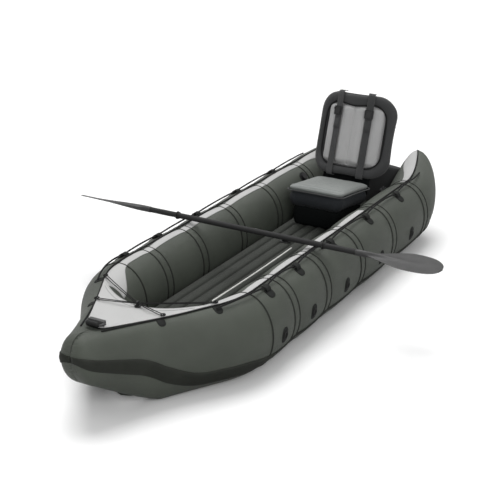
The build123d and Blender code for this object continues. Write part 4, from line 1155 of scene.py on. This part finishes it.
shaft_low, shaft_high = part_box("shaft_right")
SHAFT_RADIUS = 0.0145
SOCKET_RADIUS = 0.016
SOCKET_LENGTH = 0.034
BLADE_HALF_THICK = 0.0035
axis_y, axis_z = (shaft_low.y + shaft_high.y) / 2.0, shaft_low.z + SHAFT_RADIUS
for side, hand, body, tilt in ((1, "right", "paddle_right", 6.0), (-1, "left", "paddle", -25.0)):
    blade_low, blade_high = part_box(f"blade_{hand}")
    root = blade_low.x if side > 0 else -blade_high.x
    tip = blade_high.x if side > 0 else -blade_low.x
    a = radians(tilt)
    wide = Vector((0, cos(a), sin(a)))
    thick = Vector((side, 0, 0)).cross(wide)
    rings = []
    for i in range(75):
        x = root + (tip - root) * (i / 74.0)
        t = max(0.0, (x - root - SOCKET_LENGTH) / (tip - root - SOCKET_LENGTH))
        half_w = SOCKET_RADIUS + 0.073 * smooth(t / 0.62)
        if t > 0.58:
            half_w *= sqrt(max(0.0, 1.0 - ((t - 0.58) / 0.42) ** 3.4)) * 0.985 + 0.015
        shift = 0.004 * sin(pi * t)
        rib_h = 0.0125 * (1.0 - smooth(t / 0.85))
        rib_w = 0.0115 if t > 0.02 else 0.016
        mix = smooth(t / 0.12)
        ring = []
        for k in range(48):
            g = 2.0 * pi * k / 48
            u = cos(g) * half_w
            flat_h = BLADE_HALF_THICK + rib_h * exp(-(u / rib_w) ** 2)
            h = (SOCKET_RADIUS * (1.0 - mix) + flat_h * mix) * sin(g)
            cup = 0.05 * u ** 2 / 0.089 * smooth((t - 0.1) / 0.4)
            ring.append(Vector((side * x, axis_y, axis_z)) + wide * (u + shift) + thick * (h + cup))
        rings.append(ring)
    finish(loft(f"paddle_blade_{hand}", rings, BLADE, body), "blade_plastic", f"blade_{hand}")

# ---- Materials of the carried-over CAD nodes --------------------------------------------------

carried = {
    "bottom_sheet": HULL, "deck_hook": PLASTIC, "bow_handle_mount": WEBBING,
    "side_valve_right": PLASTIC, "side_valve_left": PLASTIC, "side_valve_cap_right": PLASTIC,
    "side_valve_cap_left": PLASTIC, "floor_valve": PLASTIC, "floor_valve_cap": PLASTIC,
    "buckle_frames": PLASTIC, "buckle_lever_left": PLASTIC, "buckle_lever_right": PLASTIC,
    "shaft_left": SHAFT, "shaft_right": SHAFT, "ferrule": METAL, "snap_button": METAL,
    "drip_ring_left": RUBBER, "drip_ring_right": RUBBER,
}
for name, material in carried.items():
    mesh = nodes[name].data
    mesh.materials.clear()
    mesh.materials.append(material)

# ---- Stage, light and camera ------------------------------------------------------------------

mesh = bpy.data.meshes.new("ground")
corners = [(x, y, -0.001) for x, y in ((-40, -40), (40, -40), (40, 40), (-40, 40))]
mesh.from_pydata(corners, [], [(0, 1, 2, 3)])
ground = bpy.data.objects.new("ground", mesh)
bpy.context.scene.collection.objects.link(ground)
floor_material, tree, bsdf = shader("pale_floor", (0.93, 0.93, 0.93), 0.9, spec=0.1)
path = tree.nodes.new("ShaderNodeLightPath")
tone = tree.nodes.new("ShaderNodeMix")
tone.data_type = "RGBA"
tone.inputs["A"].default_value = (0.5, 0.5, 0.5, 1.0)
tone.inputs["B"].default_value = (0.95, 0.95, 0.95, 1.0)
tree.links.new(path.outputs["Is Camera Ray"], tone.inputs["Factor"])
tree.links.new(tone.outputs["Result"], bsdf.inputs["Base Color"])
mesh.materials.append(floor_material)

world = bpy.data.worlds.new("studio")
bpy.context.scene.world = world
world.use_nodes = True
background = world.node_tree.nodes["Background"]
background.inputs["Color"].default_value = (1.0, 1.0, 1.0, 1.0)
sky = world.node_tree.nodes.new("ShaderNodeTexCoord")
split = world.node_tree.nodes.new("ShaderNodeSeparateXYZ")
rise = world.node_tree.nodes.new("ShaderNodeMapRange")
rise.inputs["To Min"].default_value = 0.44
rise.inputs["To Max"].default_value = 0.60
world.node_tree.links.new(sky.outputs["Generated"], split.inputs["Vector"])
world.node_tree.links.new(split.outputs["Z"], rise.inputs["Value"])
world.node_tree.links.new(rise.outputs["Result"], background.inputs["Strength"])


def area(name, position, target, size, power):
    """Square soft light aimed at a point."""
    lamp = bpy.data.lights.new(name, "AREA")
    lamp.size = size
    lamp.energy = power
    obj = bpy.data.objects.new(name, lamp)
    bpy.context.scene.collection.objects.link(obj)
    obj.location = position
    obj.rotation_euler = (Vector(target) - Vector(position)).to_track_quat("-Z", "Y").to_euler()
    return obj


sun = bpy.data.lights.new("key", "SUN")
sun.energy = 2.3
sun.angle = radians(45.0)
key = bpy.data.objects.new("key", sun)
bpy.context.scene.collection.objects.link(key)
key.rotation_euler = (radians(-18.0), radians(-16.0), 0.0)
area("front_fill", (4.4, -4.6, 3.4), (0, 0, 0.2), 3.0, 150.0)

camera = bpy.data.cameras.new("camera")
camera.lens = 86.4
camera.sensor_width = 36.0
eye = bpy.data.objects.new("camera", camera)
bpy.context.scene.collection.objects.link(eye)
azimuth, elevation = radians(29.938), radians(22.073)
backward = Vector((cos(elevation) * sin(azimuth), -cos(elevation) * cos(azimuth), sin(elevation)))
rightward = Vector((cos(azimuth), sin(azimuth), 0.0))
upward = backward.cross(rightward)
eye.matrix_world = Matrix((
    (rightward.x, upward.x, backward.x, 2.871),
    (rightward.y, upward.y, backward.y, -5.049),
    (rightward.z, upward.z, backward.z, 2.627),
    (0.0, 0.0, 0.0, 1.0),
))
bpy.context.scene.camera = eye
bpy.context.scene.view_settings.view_transform = "Standard"
